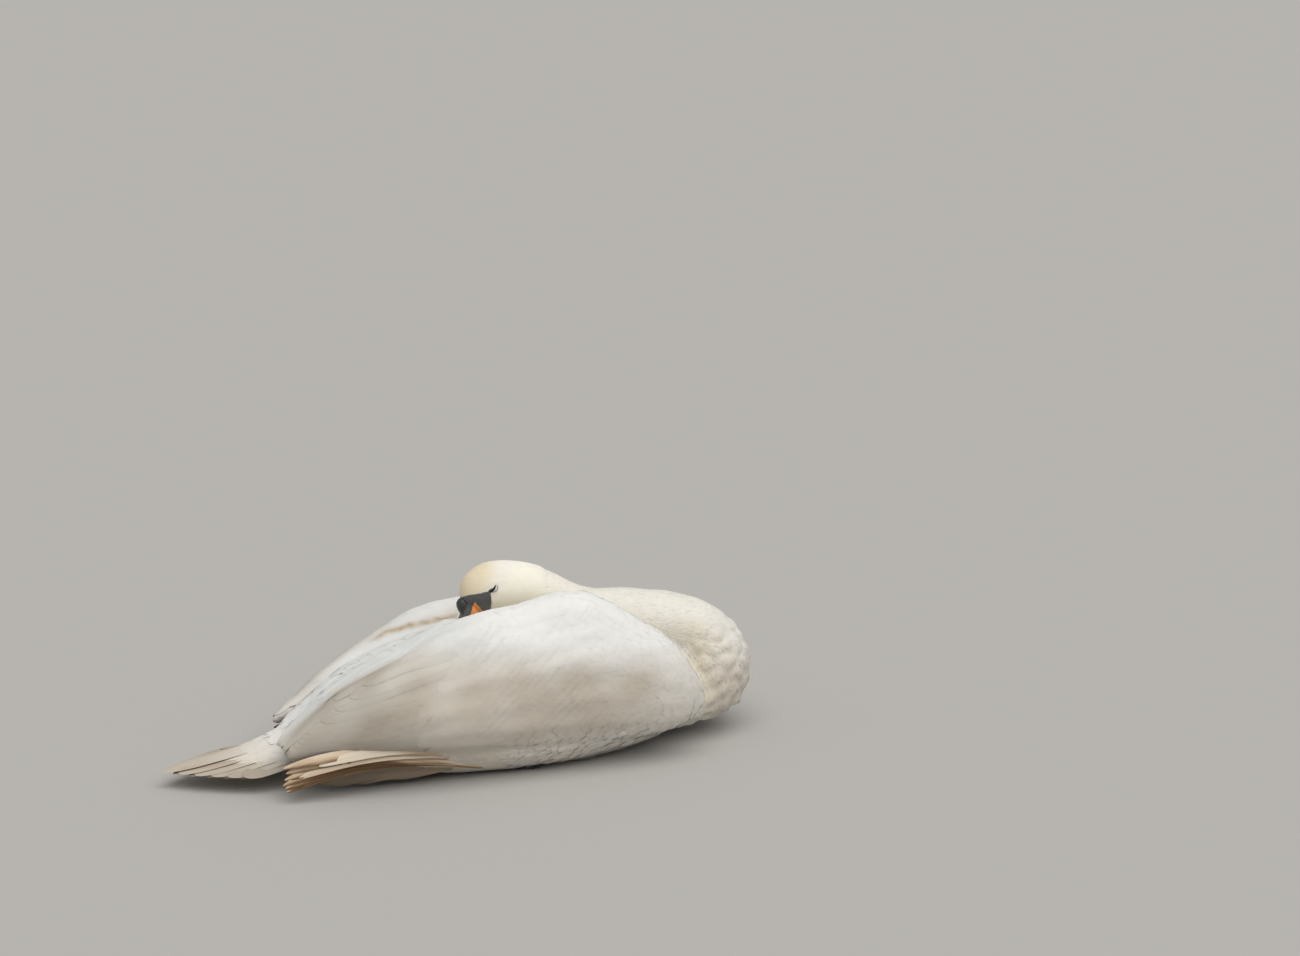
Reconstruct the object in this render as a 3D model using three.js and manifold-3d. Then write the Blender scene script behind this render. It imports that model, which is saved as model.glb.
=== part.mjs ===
// A life-size mute swan asleep on the ground: belly down, feet tucked under the flanks, neck folded
// back over the body and bill pushed between the folded wings.
// Millimetres, +X towards the breast, +Y towards the bird's left, +Z up. The origin is on the ground
// under the middle of the belly.
import * as THREE from 'three';
import { mergeVertices } from 'three/addons/utils/BufferGeometryUtils.js';
import Module from 'manifold-3d';

// ---------------------------------------------------------------- driving dimensions

const GAP = 0.35; // left between neighbouring pieces
const WELD = 1e-3; // corners closer than this are one
const RIGHT = -1;
const LEFT = 1;

// How finely each kind of piece is faceted: sections along it and sides around it.
const FACETS = {
  trunk: { sections: 16, sides: 20 },
  wing: { sections: 20, sides: 16 },
  backFeathers: { sections: 10, sides: 12 },
  neckFold: { sections: 13, sides: 18 },
  neckBack: { sections: 9, sides: 18 },
  head: { sections: 12, sides: 16 },
  upperBill: { sections: 8, sides: 12 },
  lowerBill: { sections: 8, sides: 10 },
  feather: { sections: 6, sides: 6 },
  tailCoverts: { sections: 6, sides: 14 },
  leg: { sections: 7, sides: 8 },
  toe: { sections: 8, sides: 6 },
  legHollow: { sides: 8 },
  webEdge: 4,
  ball: { knob: 14, eye: 12 },
};

// Where the neck's sections are parted into its three lengths, counted from the breast.
const NECK_PARTS = { neck_lower: [0, 8], neck_middle: [8, 14], neck_upper: [14, 21] };

// Head frame: its origin lies between the eyes, u runs forwards to the bill and w up to the crown.
const HEAD_CENTRE = new THREE.Vector3(45, 0, 240);
const HEAD_PITCH = THREE.MathUtils.degToRad(40); // how far the bill points below the level
const EYE = { u: -3.5, v: 27.6, w: 1, radius: 6.2 };
const KNOB = { u: 40, w: 3, length: 12.5, width: 9.5, height: 11.5 };

// The fold of the neck: its sections fan out around a line across the body at this place.
const FOLD = { x: 297, z: 112, inner: 12 };

// Trunk sections across the body: middle height, half width, and reach above and below the middle.
const TRUNK = [
  { x: -268, z: 36, width: 34, top: 14, bottom: 22, fullness: 2.0 },
  { x: -240, z: 46, width: 58, top: 33, bottom: 34, fullness: 2.0 },
  { x: -180, z: 58, width: 96, top: 64, bottom: 52, fullness: 2.1 },
  { x: -90, z: 62, width: 134, top: 100, bottom: 70, fullness: 2.2 },
  { x: 20, z: 64, width: 152, top: 122, bottom: 76, fullness: 2.4 },
  { x: 130, z: 66, width: 156, top: 132, bottom: 76, fullness: 2.4 },
  { x: 220, z: 70, width: 146, top: 114, bottom: 74, fullness: 2.3 },
  { x: 290, z: 70, width: 116, top: 90, bottom: 64, fullness: 2.1 },
  { x: 340, z: 68, width: 76, top: 62, bottom: 50, fullness: 2.0 },
  { x: 366, z: 66, width: 34, top: 30, bottom: 28, fullness: 2.0 },
];

// Folded wing sections: the upper and the lower edge, and the half thickness between them.
// y counts outwards from the midline.
const SLAB_FULLNESS = 2.2; // 2 is a true ellipse, more is squarer
const WING_RIGHT = [
  { x: 329, topY: 118, topZ: 98, lowY: 121, lowZ: 66, thick: 8 },
  { x: 297, topY: 110, topZ: 153, lowY: 130, lowZ: 46, thick: 32 },
  { x: 228, topY: 95, topZ: 208, lowY: 136, lowZ: 38, thick: 48 },
  { x: 150, topY: 80, topZ: 249, lowY: 138, lowZ: 36, thick: 54 },
  { x: 60, topY: 70, topZ: 231, lowY: 140, lowZ: 40, thick: 55 },
  { x: -35, topY: 74, topZ: 205, lowY: 144, lowZ: 48, thick: 49 },
  { x: -130, topY: 102, topZ: 176, lowY: 140, lowZ: 60, thick: 32 },
  { x: -210, topY: 102, topZ: 138, lowY: 126, lowZ: 64, thick: 19 },
  { x: -262, topY: 102, topZ: 89, lowY: 114, lowZ: 58, thick: 10 },
  { x: -279, topY: 105, topZ: 71, lowY: 109, lowZ: 57, thick: 4 },
];
const WING_LEFT = [
  { x: 325, topY: 118, topZ: 96, lowY: 121, lowZ: 66, thick: 8 },
  { x: 293, topY: 110, topZ: 142, lowY: 130, lowZ: 46, thick: 32 },
  { x: 224, topY: 96, topZ: 187, lowY: 136, lowZ: 38, thick: 48 },
  { x: 146, topY: 82, topZ: 209, lowY: 138, lowZ: 36, thick: 54 },
  { x: 60, topY: 72, topZ: 204, lowY: 140, lowZ: 40, thick: 54 },
  { x: -25, topY: 75, topZ: 192, lowY: 142, lowZ: 46, thick: 46 },
  { x: -105, topY: 88, topZ: 152, lowY: 134, lowZ: 53, thick: 31 },
  { x: -175, topY: 86, topZ: 109, lowY: 118, lowZ: 54, thick: 19 },
  { x: -232, topY: 80, topZ: 66, lowY: 98, lowZ: 48, thick: 9 },
  { x: -248, topY: 82, topZ: 54, lowY: 90, lowZ: 46, thick: 4 },
];

// The long innermost feathers of the right wing, lying flat over the back: their inner and outer
// edges and the half thickness of the layer. y counts outwards from the midline.
const BACK_FEATHERS = [
  { x: 34, topY: 44, topZ: 186, lowY: 84, lowZ: 188, thick: 4 },
  { x: -22, topY: 33, topZ: 189, lowY: 104, lowZ: 188, thick: 12 },
  { x: -100, topY: 22, topZ: 171, lowY: 120, lowZ: 170, thick: 13 },
  { x: -180, topY: 20, topZ: 132, lowY: 117, lowZ: 139, thick: 13 },
  { x: -250, topY: 34, topZ: 86, lowY: 108, lowZ: 92, thick: 8 },
  { x: -284, topY: 66, topZ: 66, lowY: 98, lowZ: 67, thick: 3 },
];

// Neck sections around the fold: turn is the neck's heading (0 forwards, 90 up, 180 back), reach the
// distance from the fold's line to the outer side, width the half width.
const NECK_FOLD = [
  { turn: 0, reach: 106, width: 96 },
  { turn: 30, reach: 114, width: 93 },
  { turn: 60, reach: 150, width: 86 },
  { turn: 90, reach: 148, width: 76 },
  { turn: 120, reach: 121, width: 66 },
  { turn: 150, reach: 100, width: 57 },
  { turn: 180, reach: 98, width: 49 },
];
// From the fold back to the nape: the neck's upper side, its turn, half height and half width.
const NECK_BACK = [
  { x: 274, z: 215, turn: 173, half: 42.5, width: 46 },
  { x: 250, z: 218.5, turn: 178, half: 41, width: 44 },
  { x: 226, z: 219.5, turn: 176, half: 39.5, width: 42 },
  { x: 201, z: 223, turn: 165, half: 38, width: 40 },
  { x: 178, z: 233, turn: 152, half: 37, width: 38 },
  { x: 157, z: 245.5, turn: 148, half: 36, width: 36.5 },
  { x: 136, z: 257.5, turn: 152, half: 35.5, width: 35.5 },
  { x: 112, z: 263, turn: 160, half: 32, width: 32 },
];

// Head sections: the points on the crown and on the throat that each joins, and the half width.
const HEAD = [
  { crownU: -79, crownW: -37, throatU: -16, throatW: -67, width: 35.5 },
  { crownU: -62, crownW: -10, throatU: 0, throatW: -48, width: 35.5 },
  { crownU: -37, crownW: 17, throatU: 12, throatW: -36, width: 35 },
  { crownU: -14, crownW: 30.5, throatU: 18, throatW: -30, width: 32.5 },
  { crownU: 12, crownW: 33, throatU: 25, throatW: -26.5, width: 28 },
  { crownU: 31, crownW: 23, throatU: 33, throatW: -22, width: 21 },
  { crownU: 41, crownW: 9, throatU: 39, throatW: -14, width: 11 },
];

// Upper and lower bill sections along u: middle height, half width, half height.
const BILL_FULLNESS = 2.4;
const UPPER_BILL = [
  { u: 24, w: -4, width: 15, half: 12 },
  { u: 36, w: -5, width: 19, half: 14.5 },
  { u: 52, w: -11, width: 18, half: 11.5 },
  { u: 72, w: -18, width: 17.5, half: 8.5 },
  { u: 92, w: -23, width: 18.5, half: 6 },
  { u: 108, w: -26, width: 14.5, half: 4.4 },
  { u: 116, w: -28, width: 6, half: 3 },
];
const LOWER_BILL = [
  { u: 20, w: -21, width: 13, half: 6 },
  { u: 36, w: -23, width: 16, half: 7 },
  { u: 60, w: -28, width: 15.5, half: 6 },
  { u: 88, w: -31.5, width: 15.5, half: 4.5 },
  { u: 104, w: -32.5, width: 12, half: 3.2 },
  { u: 110, w: -32.5, width: 6, half: 2.2 },
];

// A long feather's outline, in shares of its length and width: where its tip starts to round off and
// where it would close, its width at the root, and how much thinner it is at the tip.
const BLADE = { tipFrom: 0.5, tipTo: 1.01, rootWidth: 0.6, thinning: 0.6 };

const TAIL = {
  root: new THREE.Vector3(-240, 0, 56),
  feathers: 11,
  fan: THREE.MathUtils.degToRad(14), // heading of the outermost feather
  middleLength: 192,
  outerLength: 98,
  rootSpread: 42,
  rootDrop: 16,
  width: 17,
  thick: 2.2,
  tipHeight: 23,
  edgeHeight: 21,
  roofSlope: 0.5, // how steeply the outermost feathers lean outwards
};
// The soft wedge over and under the roots of the tail feathers.
const TAIL_COVERTS = [
  { x: -222, z: 44, width: 58, top: 32, bottom: 30 },
  { x: -262, z: 37, width: 56, top: 25, bottom: 26 },
  { x: -306, z: 31, width: 46, top: 17, bottom: 14 },
  { x: -350, z: 28, width: 28, top: 9, bottom: 8 },
  { x: -384, z: 26, width: 10, top: 4, bottom: 3 },
];

// The stack of folded primaries: root, middle and tip of the uppermost and of the lowest feather.
const PRIMARIES = {
  count: 6,
  width: 7.5,
  thick: 2.4,
  highest: [
    new THREE.Vector3(-6, 133, 37),
    new THREE.Vector3(-176, 141, 66),
    new THREE.Vector3(-290, 117, 43),
  ],
  lowest: [
    new THREE.Vector3(-6, 131, 29),
    new THREE.Vector3(-160, 141, 34),
    new THREE.Vector3(-290, 134, 17),
  ],
  leftShift: new THREE.Vector3(50, -16, -2), // the left stack is folded further in
  facing: { y: 0.8, z: 0.6 }, // the feathers' flat sides look outwards and up
};

// The tarsus lies along the ground; its half thickness is given from the heel to the toes.
const LEG = {
  y: 76,
  height: 9,
  shape: [
    { x: -136, size: 4 },
    { x: -130, size: 9.5 },
    { x: -122, size: 11 },
    { x: -106, size: 8 },
    { x: -75, size: 7 },
    { x: -34, size: 8 },
    { x: -22, size: 7 },
  ],
};
const FOOT = {
  x: -21, // where the toes part
  toes: 3,
  spread: THREE.MathUtils.degToRad(19),
  length: 118,
  sideToeShare: 0.88, // of the middle toe's length
  rootRadius: 6,
  tipRadius: 2.6,
  bumps: 2, // the swellings at the toe joints
  bumpShare: 0.1,
  sunk: 0.6, // how far the soles are pressed flat
  web: 3.4,
  webHollow: 16,
};
// The hollow that a leg and its foot leave in the belly: half widths and heights along it.
const LEG_HOLLOW = [
  { x: -144, width: 15, top: 27 },
  { x: -108, width: 14, top: 25 },
  { x: -20, width: 14, top: 22 },
  { x: 18, width: 27, top: 16 },
  { x: 104, width: 46, top: 16 },
];

const GROUND_BLOCK = { length: 1400, width: 900, depth: 200 }; // cuts all undersides level

// ---------------------------------------------------------------- shared shape tools

const wasm = await Module();
wasm.setup();

/** A geometry as a solid that can be joined and cut. */
function toSolid(geometry) {
  const bare = geometry.clone();
  bare.deleteAttribute('normal');
  bare.deleteAttribute('uv');
  const merged = mergeVertices(bare, WELD);
  return new wasm.Manifold(
    new wasm.Mesh({
      numProp: 3,
      vertProperties: merged.attributes.position.array,
      triVerts: new Uint32Array(merged.index.array),
    }),
  );
}

/** A solid back as a geometry. */
function toGeometry(solid) {
  const mesh = solid.getMesh();
  const geometry = new THREE.BufferGeometry();
  geometry.setAttribute('position', new THREE.BufferAttribute(mesh.vertProperties, 3));
  geometry.setIndex(new THREE.BufferAttribute(mesh.triVerts, 1));
  return geometry;
}

/** The largest piece of a solid, which drops the crumbs that a cut leaves. */
function mainPiece(solid) {
  return solid.decompose().reduce((best, piece) => (piece.volume() > best.volume() ? piece : best));
}

/** A table of named sizes, read smoothly at `count` even places along it. */
function smoothTable(table, count) {
  const names = Object.keys(table[0]);
  const curve = new THREE.CubicInterpolant(
    table.map((_, index) => index),
    table.flatMap((row) => names.map((name) => row[name])),
    names.length,
  );
  return Array.from({ length: count }, (_, index) => {
    const values = curve.evaluate((index / (count - 1)) * (table.length - 1));
    return Object.fromEntries(names.map((name, place) => [name, values[place]]));
  });
}

/** A closed ring of points round `centre`, an egg shape between the axes `side` and `up`. */
function ring({ centre, side, up, width, top, bottom, fullness = 2 }, segments, grow = 0) {
  return Array.from({ length: segments }, (_, index) => {
    const angle = (index / segments) * 2 * Math.PI;
    const across = Math.cos(angle);
    const rise = Math.sin(angle);
    const power = 2 / fullness;
    const reach = (rise > 0 ? top : bottom) + grow;
    return centre
      .clone()
      .addScaledVector(side, Math.sign(across) * Math.abs(across) ** power * (width + grow))
      .addScaledVector(up, Math.sign(rise) * Math.abs(rise) ** power * reach);
  });
}

/** A closed surface through rings of equal length, with a fan over each end. */
function skinOver(rings) {
  const segments = rings[0].length;
  const points = rings.flat();
  const faces = [];
  for (let row = 0; row + 1 < rings.length; row += 1) {
    for (let index = 0; index < segments; index += 1) {
      const next = (index + 1) % segments;
      const [a, b] = [row * segments + index, row * segments + next];
      faces.push(a, b, a + segments, b, b + segments, a + segments);
    }
  }
  for (const [row, flip] of [[0, true], [rings.length - 1, false]]) {
    const middle = rings[row]
      .reduce((sum, point) => sum.add(point), new THREE.Vector3())
      .divideScalar(segments);
    points.push(middle);
    for (let index = 0; index < segments; index += 1) {
      const edge = [row * segments + index, row * segments + ((index + 1) % segments)];
      if (flip) edge.reverse();
      faces.push(...edge, points.length - 1);
    }
  }
  const geometry = new THREE.BufferGeometry().setFromPoints(points).setIndex(faces);
  return signedVolume(geometry) < 0 ? turnedInsideOut(geometry) : geometry;
}

function signedVolume(geometry) {
  const corner = [new THREE.Vector3(), new THREE.Vector3(), new THREE.Vector3()];
  const { index } = geometry;
  let volume = 0;
  for (let face = 0; face < index.count; face += 3) {
    corner.forEach((point, k) => {
      point.fromBufferAttribute(geometry.attributes.position, index.getX(face + k));
    });
    volume += corner[0].dot(corner[1].clone().cross(corner[2])) / 6;
  }
  return volume;
}

function turnedInsideOut(geometry) {
  const order = Array.from(geometry.index.array);
  for (let face = 0; face < order.length; face += 3) {
    [order[face], order[face + 1]] = [order[face + 1], order[face]];
  }
  return geometry.setIndex(order);
}

const ACROSS = new THREE.Vector3(0, 1, 0);
const UP = new THREE.Vector3(0, 0, 1);

/** A direction in the body's middle plane, turned from forwards towards up. */
function heading(angle) {
  return new THREE.Vector3(Math.cos(angle), 0, Math.sin(angle));
}

// ---------------------------------------------------------------- trunk, wings, neck

/** A body along x in the middle plane whose sections stand across it. */
function tube(table, { sections, sides }, grow) {
  const rings = smoothTable(table, sections).map(({ x, z, ...size }) =>
    ring({ centre: new THREE.Vector3(x, 0, z), side: ACROSS, up: UP, ...size }, sides, grow),
  );
  return toSolid(skinOver(rings));
}

function trunk(grow = 0) {
  return tube(TRUNK, FACETS.trunk, grow);
}

/** A flat body along x whose sections reach from a lower to an upper edge. */
function slab(table, side, { sections, sides }, grow) {
  const rings = smoothTable(table, sections).map(({ x, topY, topZ, lowY, lowZ, thick }) => {
    const upper = new THREE.Vector3(x, side * topY, topZ);
    const lower = new THREE.Vector3(x, side * lowY, lowZ);
    const half = upper.distanceTo(lower) / 2;
    const up = upper.clone().sub(lower).normalize();
    const out = new THREE.Vector3(0, up.z, -up.y);
    const centre = upper.clone().lerp(lower, 0.5);
    const size = { width: thick, top: half, bottom: half, fullness: SLAB_FULLNESS };
    return ring({ centre, side: out, up, ...size }, sides, grow);
  });
  return toSolid(skinOver(rings));
}

function wing(side, grow = 0) {
  const table = side === RIGHT ? WING_RIGHT : WING_LEFT;
  return slab(table, side, FACETS.wing, grow);
}

function backFeathers(grow = 0) {
  return slab(BACK_FEATHERS, RIGHT, FACETS.backFeathers, grow);
}

/** The neck's sections from the breast to the nape, as ring descriptions. */
function neckSections() {
  const fold = smoothTable(NECK_FOLD, FACETS.neckFold.sections).map(({ turn, reach, width }) => {
    const angle = THREE.MathUtils.degToRad(turn);
    const outwards = heading(angle - Math.PI / 2);
    const half = (reach - FOLD.inner) / 2;
    return {
      centre: new THREE.Vector3(FOLD.x, 0, FOLD.z).addScaledVector(outwards, FOLD.inner + half),
      up: outwards,
      width,
      half,
    };
  });
  const back = smoothTable(NECK_BACK, FACETS.neckBack.sections).map(({ x, z, turn, half, width }) => {
    const up = heading(THREE.MathUtils.degToRad(turn) - Math.PI / 2);
    return { centre: new THREE.Vector3(x, 0, z).addScaledVector(up, -half), up, width, half };
  });
  return [...fold, ...back];
}

/** A length of the neck, from one section's number to another's. */
function neck(from, to, grow = 0) {
  const rings = neckSections()
    .slice(from, to + 1)
    .map(({ half, ...section }) =>
      ring({ ...section, side: ACROSS, top: half, bottom: half }, FACETS.neckFold.sides, grow),
    );
  return toSolid(skinOver(rings));
}

// ---------------------------------------------------------------- head and bill

const HEAD_FORWARDS = heading(Math.PI + HEAD_PITCH);
const HEAD_UP = heading(HEAD_PITCH + Math.PI / 2);

/** A place given in the head's own frame; v counts towards the bird's left as it faces back. */
function inHead(u, v, w) {
  return HEAD_CENTRE.clone()
    .addScaledVector(HEAD_FORWARDS, u)
    .addScaledVector(ACROSS, v)
    .addScaledVector(HEAD_UP, w);
}

function featheredHead(grow = 0) {
  const { sections, sides } = FACETS.head;
  const rings = smoothTable(HEAD, sections).map(({ crownU, crownW, throatU, throatW, width }) => {
    const crown = inHead(crownU, 0, crownW);
    const throat = inHead(throatU, 0, throatW);
    const half = crown.distanceTo(throat) / 2;
    const up = crown.clone().sub(throat).normalize();
    const centre = crown.clone().lerp(throat, 0.5);
    return ring({ centre, side: ACROSS, up, width, top: half, bottom: half }, sides, grow);
  });
  return toSolid(skinOver(rings));
}

function billHalf(table, { sections, sides }, grow) {
  const rings = smoothTable(table, sections).map(({ u, w, width, half }) => {
    const centre = inHead(u, 0, w);
    const size = { width, top: half, bottom: half, fullness: BILL_FULLNESS };
    return ring({ centre, side: ACROSS, up: HEAD_UP, ...size }, sides, grow);
  });
  return toSolid(skinOver(rings));
}

function upperBill(grow = 0) {
  return billHalf(UPPER_BILL, FACETS.upperBill, grow).add(knob(grow));
}

function lowerBill(grow = 0) {
  return billHalf(LOWER_BILL, FACETS.lowerBill, grow);
}

/** A ball squashed to half sizes along the head's own axes. */
function headBall(centre, sizes, sides) {
  const ball = new THREE.SphereGeometry(1, sides, sides / 2);
  const axes = new THREE.Matrix4().makeBasis(
    HEAD_FORWARDS.clone().multiplyScalar(sizes.u),
    ACROSS.clone().multiplyScalar(-sizes.v),
    HEAD_UP.clone().multiplyScalar(sizes.w),
  );
  ball.applyMatrix4(axes.setPosition(centre));
  return toSolid(signedVolume(ball) < 0 ? turnedInsideOut(ball) : ball);
}

function knob(grow) {
  const sizes = { u: KNOB.length + grow, v: KNOB.width + grow, w: KNOB.height + grow };
  return headBall(inHead(KNOB.u, 0, KNOB.w), sizes, FACETS.ball.knob);
}

function eye(side, grow = 0) {
  const radius = EYE.radius + grow;
  const centre = inHead(EYE.u, side * EYE.v, EYE.w);
  return headBall(centre, { u: radius, v: radius, w: radius }, FACETS.ball.eye);
}

// ---------------------------------------------------------------- tail and flight feathers

/** One long feather: a flat blade along a curve, with a rounded tip. */
function blade({ path, face, width, thick }, grow) {
  const { sections, sides } = FACETS.feather;
  const rings = Array.from({ length: sections }, (_, index) => {
    const share = index / (sections - 1);
    const along = path.getTangentAt(share);
    const side = face.clone().cross(along).normalize();
    const up = along.clone().cross(side).normalize();
    const tipShare = Math.max(0, (share - BLADE.tipFrom) / (BLADE.tipTo - BLADE.tipFrom));
    const rootWidth = Math.min(1, BLADE.rootWidth + 2 * share);
    const half = thick * (1 - BLADE.thinning * share);
    const size = { width: width * rootWidth * Math.sqrt(1 - tipShare ** 3), top: half, bottom: half };
    return ring({ centre: path.getPointAt(share), side, up, ...size }, sides, grow);
  });
  return toSolid(skinOver(rings));
}

/** Solids joined into one. */
function joined(solids) {
  return solids.reduce((whole, solid) => whole.add(solid));
}

function tail(grow = 0) {
  const { root, feathers, fan, middleLength, outerLength } = TAIL;
  const blades = Array.from({ length: feathers }, (_, number) => {
    const place = (2 * number) / (feathers - 1) - 1; // -1 at the right edge, 1 at the left
    const length = THREE.MathUtils.lerp(middleLength, outerLength, Math.abs(place));
    const start = root.clone();
    start.y += place * TAIL.rootSpread;
    start.z -= place * place * TAIL.rootDrop;
    const end = start.clone();
    end.x -= length * Math.cos(place * fan);
    end.y += length * Math.sin(place * fan);
    end.z = THREE.MathUtils.lerp(TAIL.tipHeight, TAIL.edgeHeight, Math.abs(place));
    const middle = start.clone().lerp(end, 0.5);
    const path = new THREE.QuadraticBezierCurve3(start, middle, end);
    const face = new THREE.Vector3(0, place * TAIL.roofSlope, 1);
    return blade({ path, face, width: TAIL.width, thick: TAIL.thick }, grow);
  });
  return joined([...blades, tailCoverts(grow)]);
}

function tailCoverts(grow) {
  return tube(TAIL_COVERTS, FACETS.tailCoverts, grow);
}

function primaries(side, grow = 0) {
  const { count, highest, lowest, width, thick, leftShift } = PRIMARIES;
  const blades = Array.from({ length: count }, (_, number) => {
    const points = highest.map((point, place) => {
      const there = point.clone().lerp(lowest[place], number / (count - 1));
      if (side === LEFT && place > 0) there.add(leftShift);
      there.y *= side;
      return there;
    });
    const path = new THREE.CatmullRomCurve3(points);
    const face = new THREE.Vector3(0, side * PRIMARIES.facing.y, PRIMARIES.facing.z);
    return blade({ path, face, width, thick }, grow);
  });
  return joined(blades);
}

// ---------------------------------------------------------------- legs and feet

/** The tarsus, lying along the ground from the heel to the toes. */
function leg(side, grow = 0) {
  const { sections, sides } = FACETS.leg;
  const rings = smoothTable(LEG.shape, sections).map(({ x, size }) => {
    const centre = new THREE.Vector3(x, side * LEG.y, LEG.height);
    return ring({ centre, side: ACROSS, up: UP, width: size, top: size, bottom: size }, sides, grow);
  });
  return toSolid(skinOver(rings));
}

/** Three webbed toes spread flat on the ground, each swelling a little at its joints. */
function foot(side, grow = 0) {
  const start = new THREE.Vector3(FOOT.x, side * LEG.y, 0);
  const { sections, sides } = FACETS.toe;
  const tips = [];
  const solids = Array.from({ length: FOOT.toes }, (_, toe) => {
    const angle = (toe - 1) * FOOT.spread;
    const length = FOOT.length * (toe === 1 ? 1 : FOOT.sideToeShare);
    const along = new THREE.Vector3(Math.cos(angle), Math.sin(angle), 0);
    const across = new THREE.Vector3(-Math.sin(angle), Math.cos(angle), 0);
    const rings = Array.from({ length: sections }, (__, index) => {
      const share = index / (sections - 1);
      const bump = FOOT.bumpShare * (Math.cos(share * FOOT.bumps * 2 * Math.PI) - 1);
      const size = THREE.MathUtils.lerp(FOOT.rootRadius, FOOT.tipRadius, share) * (1 + bump);
      const centre = start.clone().addScaledVector(along, share * length);
      centre.z = size - FOOT.sunk;
      const sizes = { width: size, top: size, bottom: size };
      return ring({ centre, side: across, up: UP, ...sizes }, sides, grow);
    });
    tips.push(start.clone().addScaledVector(along, length - FOOT.rootRadius));
    return toSolid(skinOver(rings));
  });
  return joined([...solids, web(start, tips, grow)]);
}

/** The web between the toes, with a hollow front edge between each two. */
function web(start, tips, grow) {
  const outline = new THREE.Shape();
  outline.moveTo(start.x + FOOT.rootRadius, start.y);
  outline.lineTo(tips[0].x, tips[0].y);
  for (let toe = 1; toe < tips.length; toe += 1) {
    const [from, to] = [tips[toe - 1], tips[toe]];
    const middle = from.clone().lerp(to, 0.5);
    outline.quadraticCurveTo(middle.x - FOOT.webHollow, middle.y, to.x, to.y);
  }
  outline.closePath();
  const sheet = new THREE.ExtrudeGeometry(outline, {
    depth: FOOT.web + grow,
    bevelEnabled: false,
    curveSegments: FACETS.webEdge,
  });
  return toSolid(sheet);
}

function legHollow(side) {
  const rings = LEG_HOLLOW.map(({ x, width, top }) => {
    const centre = new THREE.Vector3(x, side * LEG.y, 0);
    return ring({ centre, side: ACROSS, up: UP, width, top, bottom: top }, FACETS.legHollow.sides);
  });
  return toSolid(skinOver(rings));
}

/** Everything below the ground. */
function underground() {
  const { length, width, depth } = GROUND_BLOCK;
  return toSolid(new THREE.BoxGeometry(length, width, depth).translate(0, 0, -depth / 2));
}

// ---------------------------------------------------------------- fitting the pieces together

function swanSolids() {
  const solids = {};
  const ground = underground();
  const cut = (solid, ...tools) => mainPiece(tools.reduce((left, tool) => left.subtract(tool), solid));

  solids.eye_left = eye(RIGHT); // the head faces back, so its left eye is on the right of the body
  solids.eye_right = eye(LEFT);
  solids.bill_upper = cut(upperBill());
  solids.bill_lower = cut(lowerBill(), upperBill(GAP));
  const bill = upperBill(GAP).add(lowerBill(GAP));
  solids.head = cut(featheredHead(), bill, eye(RIGHT, GAP), eye(LEFT, GAP));

  const headSpace = featheredHead(GAP).add(bill);
  const [[breast], , [, nape]] = Object.values(NECK_PARTS);
  const wholeNeck = neck(breast, nape, GAP);
  for (const [name, [from, to]] of Object.entries(NECK_PARTS)) {
    solids[name] = neck(from, to);
  }
  solids.neck_upper = cut(solids.neck_upper, headSpace, neck(...NECK_PARTS.neck_middle, GAP));
  solids.neck_middle = cut(solids.neck_middle, neck(...NECK_PARTS.neck_lower, GAP));

  solids.back_feathers = cut(backFeathers(), wing(RIGHT, GAP), wing(LEFT, GAP), headSpace, wholeNeck);
  for (const [name, side] of [['right', RIGHT], ['left', LEFT]]) {
    solids[`wing_${name}`] = cut(wing(side), headSpace, wholeNeck, ground);
    solids[`primaries_${name}`] = cut(primaries(side), wing(side, GAP), trunk(GAP), ground);
    solids[`leg_${name}`] = cut(leg(side), foot(side, GAP), ground);
    solids[`foot_${name}`] = cut(foot(side), ground);
  }
  const wings = joined([wing(RIGHT, GAP), wing(LEFT, GAP), backFeathers(GAP)]);
  const stacks = joined([primaries(RIGHT, GAP), primaries(LEFT, GAP)]);
  solids.tail = cut(tail(), wings, stacks, ground);
  const legHollows = joined([legHollow(RIGHT), legHollow(LEFT)]);
  solids.trunk = cut(trunk(), wings, wholeNeck, headSpace, tailCoverts(GAP), legHollows, ground);
  return solids;
}

// ---------------------------------------------------------------- finishes and the finished group

const FINISHES = {
  plumage: { color: '#efece2', roughness: 0.85 },
  buffPlumage: { color: '#e9dcc0', roughness: 0.85 },
  flightFeather: { color: '#ddc7a8', roughness: 0.75 },
  bill: { color: '#d9722f', roughness: 0.45 },
  eye: { color: '#1d140f', roughness: 0.12 },
  blackSkin: { color: '#2b2a2b', roughness: 0.55 },
};
const FINISH_OF = {
  trunk: 'plumage',
  wing_right: 'plumage',
  wing_left: 'plumage',
  tail: 'plumage',
  back_feathers: 'plumage',
  neck_lower: 'plumage',
  neck_middle: 'buffPlumage',
  neck_upper: 'buffPlumage',
  head: 'buffPlumage',
  primaries_right: 'flightFeather',
  primaries_left: 'flightFeather',
  bill_upper: 'bill',
  bill_lower: 'bill',
  eye_left: 'eye',
  eye_right: 'eye',
  leg_left: 'blackSkin',
  leg_right: 'blackSkin',
  foot_left: 'blackSkin',
  foot_right: 'blackSkin',
};

const swan = new THREE.Group();
swan.name = 'mute_swan';
for (const [name, solid] of Object.entries(swanSolids())) {
  const finish = FINISHES[FINISH_OF[name]];
  const mesh = new THREE.Mesh(
    toGeometry(solid),
    new THREE.MeshStandardMaterial({ ...finish, metalness: 0 }),
  );
  mesh.name = name;
  swan.add(mesh);
}

export default swan;
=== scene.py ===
"""A mute swan asleep on the ground, as a life-size model: skin, plumage, bill, lids and feet.

Metres, +X towards the breast, +Y towards the bird's left, +Z up. The head faces back, so its left
side looks towards -Y. Lengths in millimetres are written as `n * MM`, `mm(...)` or `rise(...)`.
"""
import math
from collections import namedtuple

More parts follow.
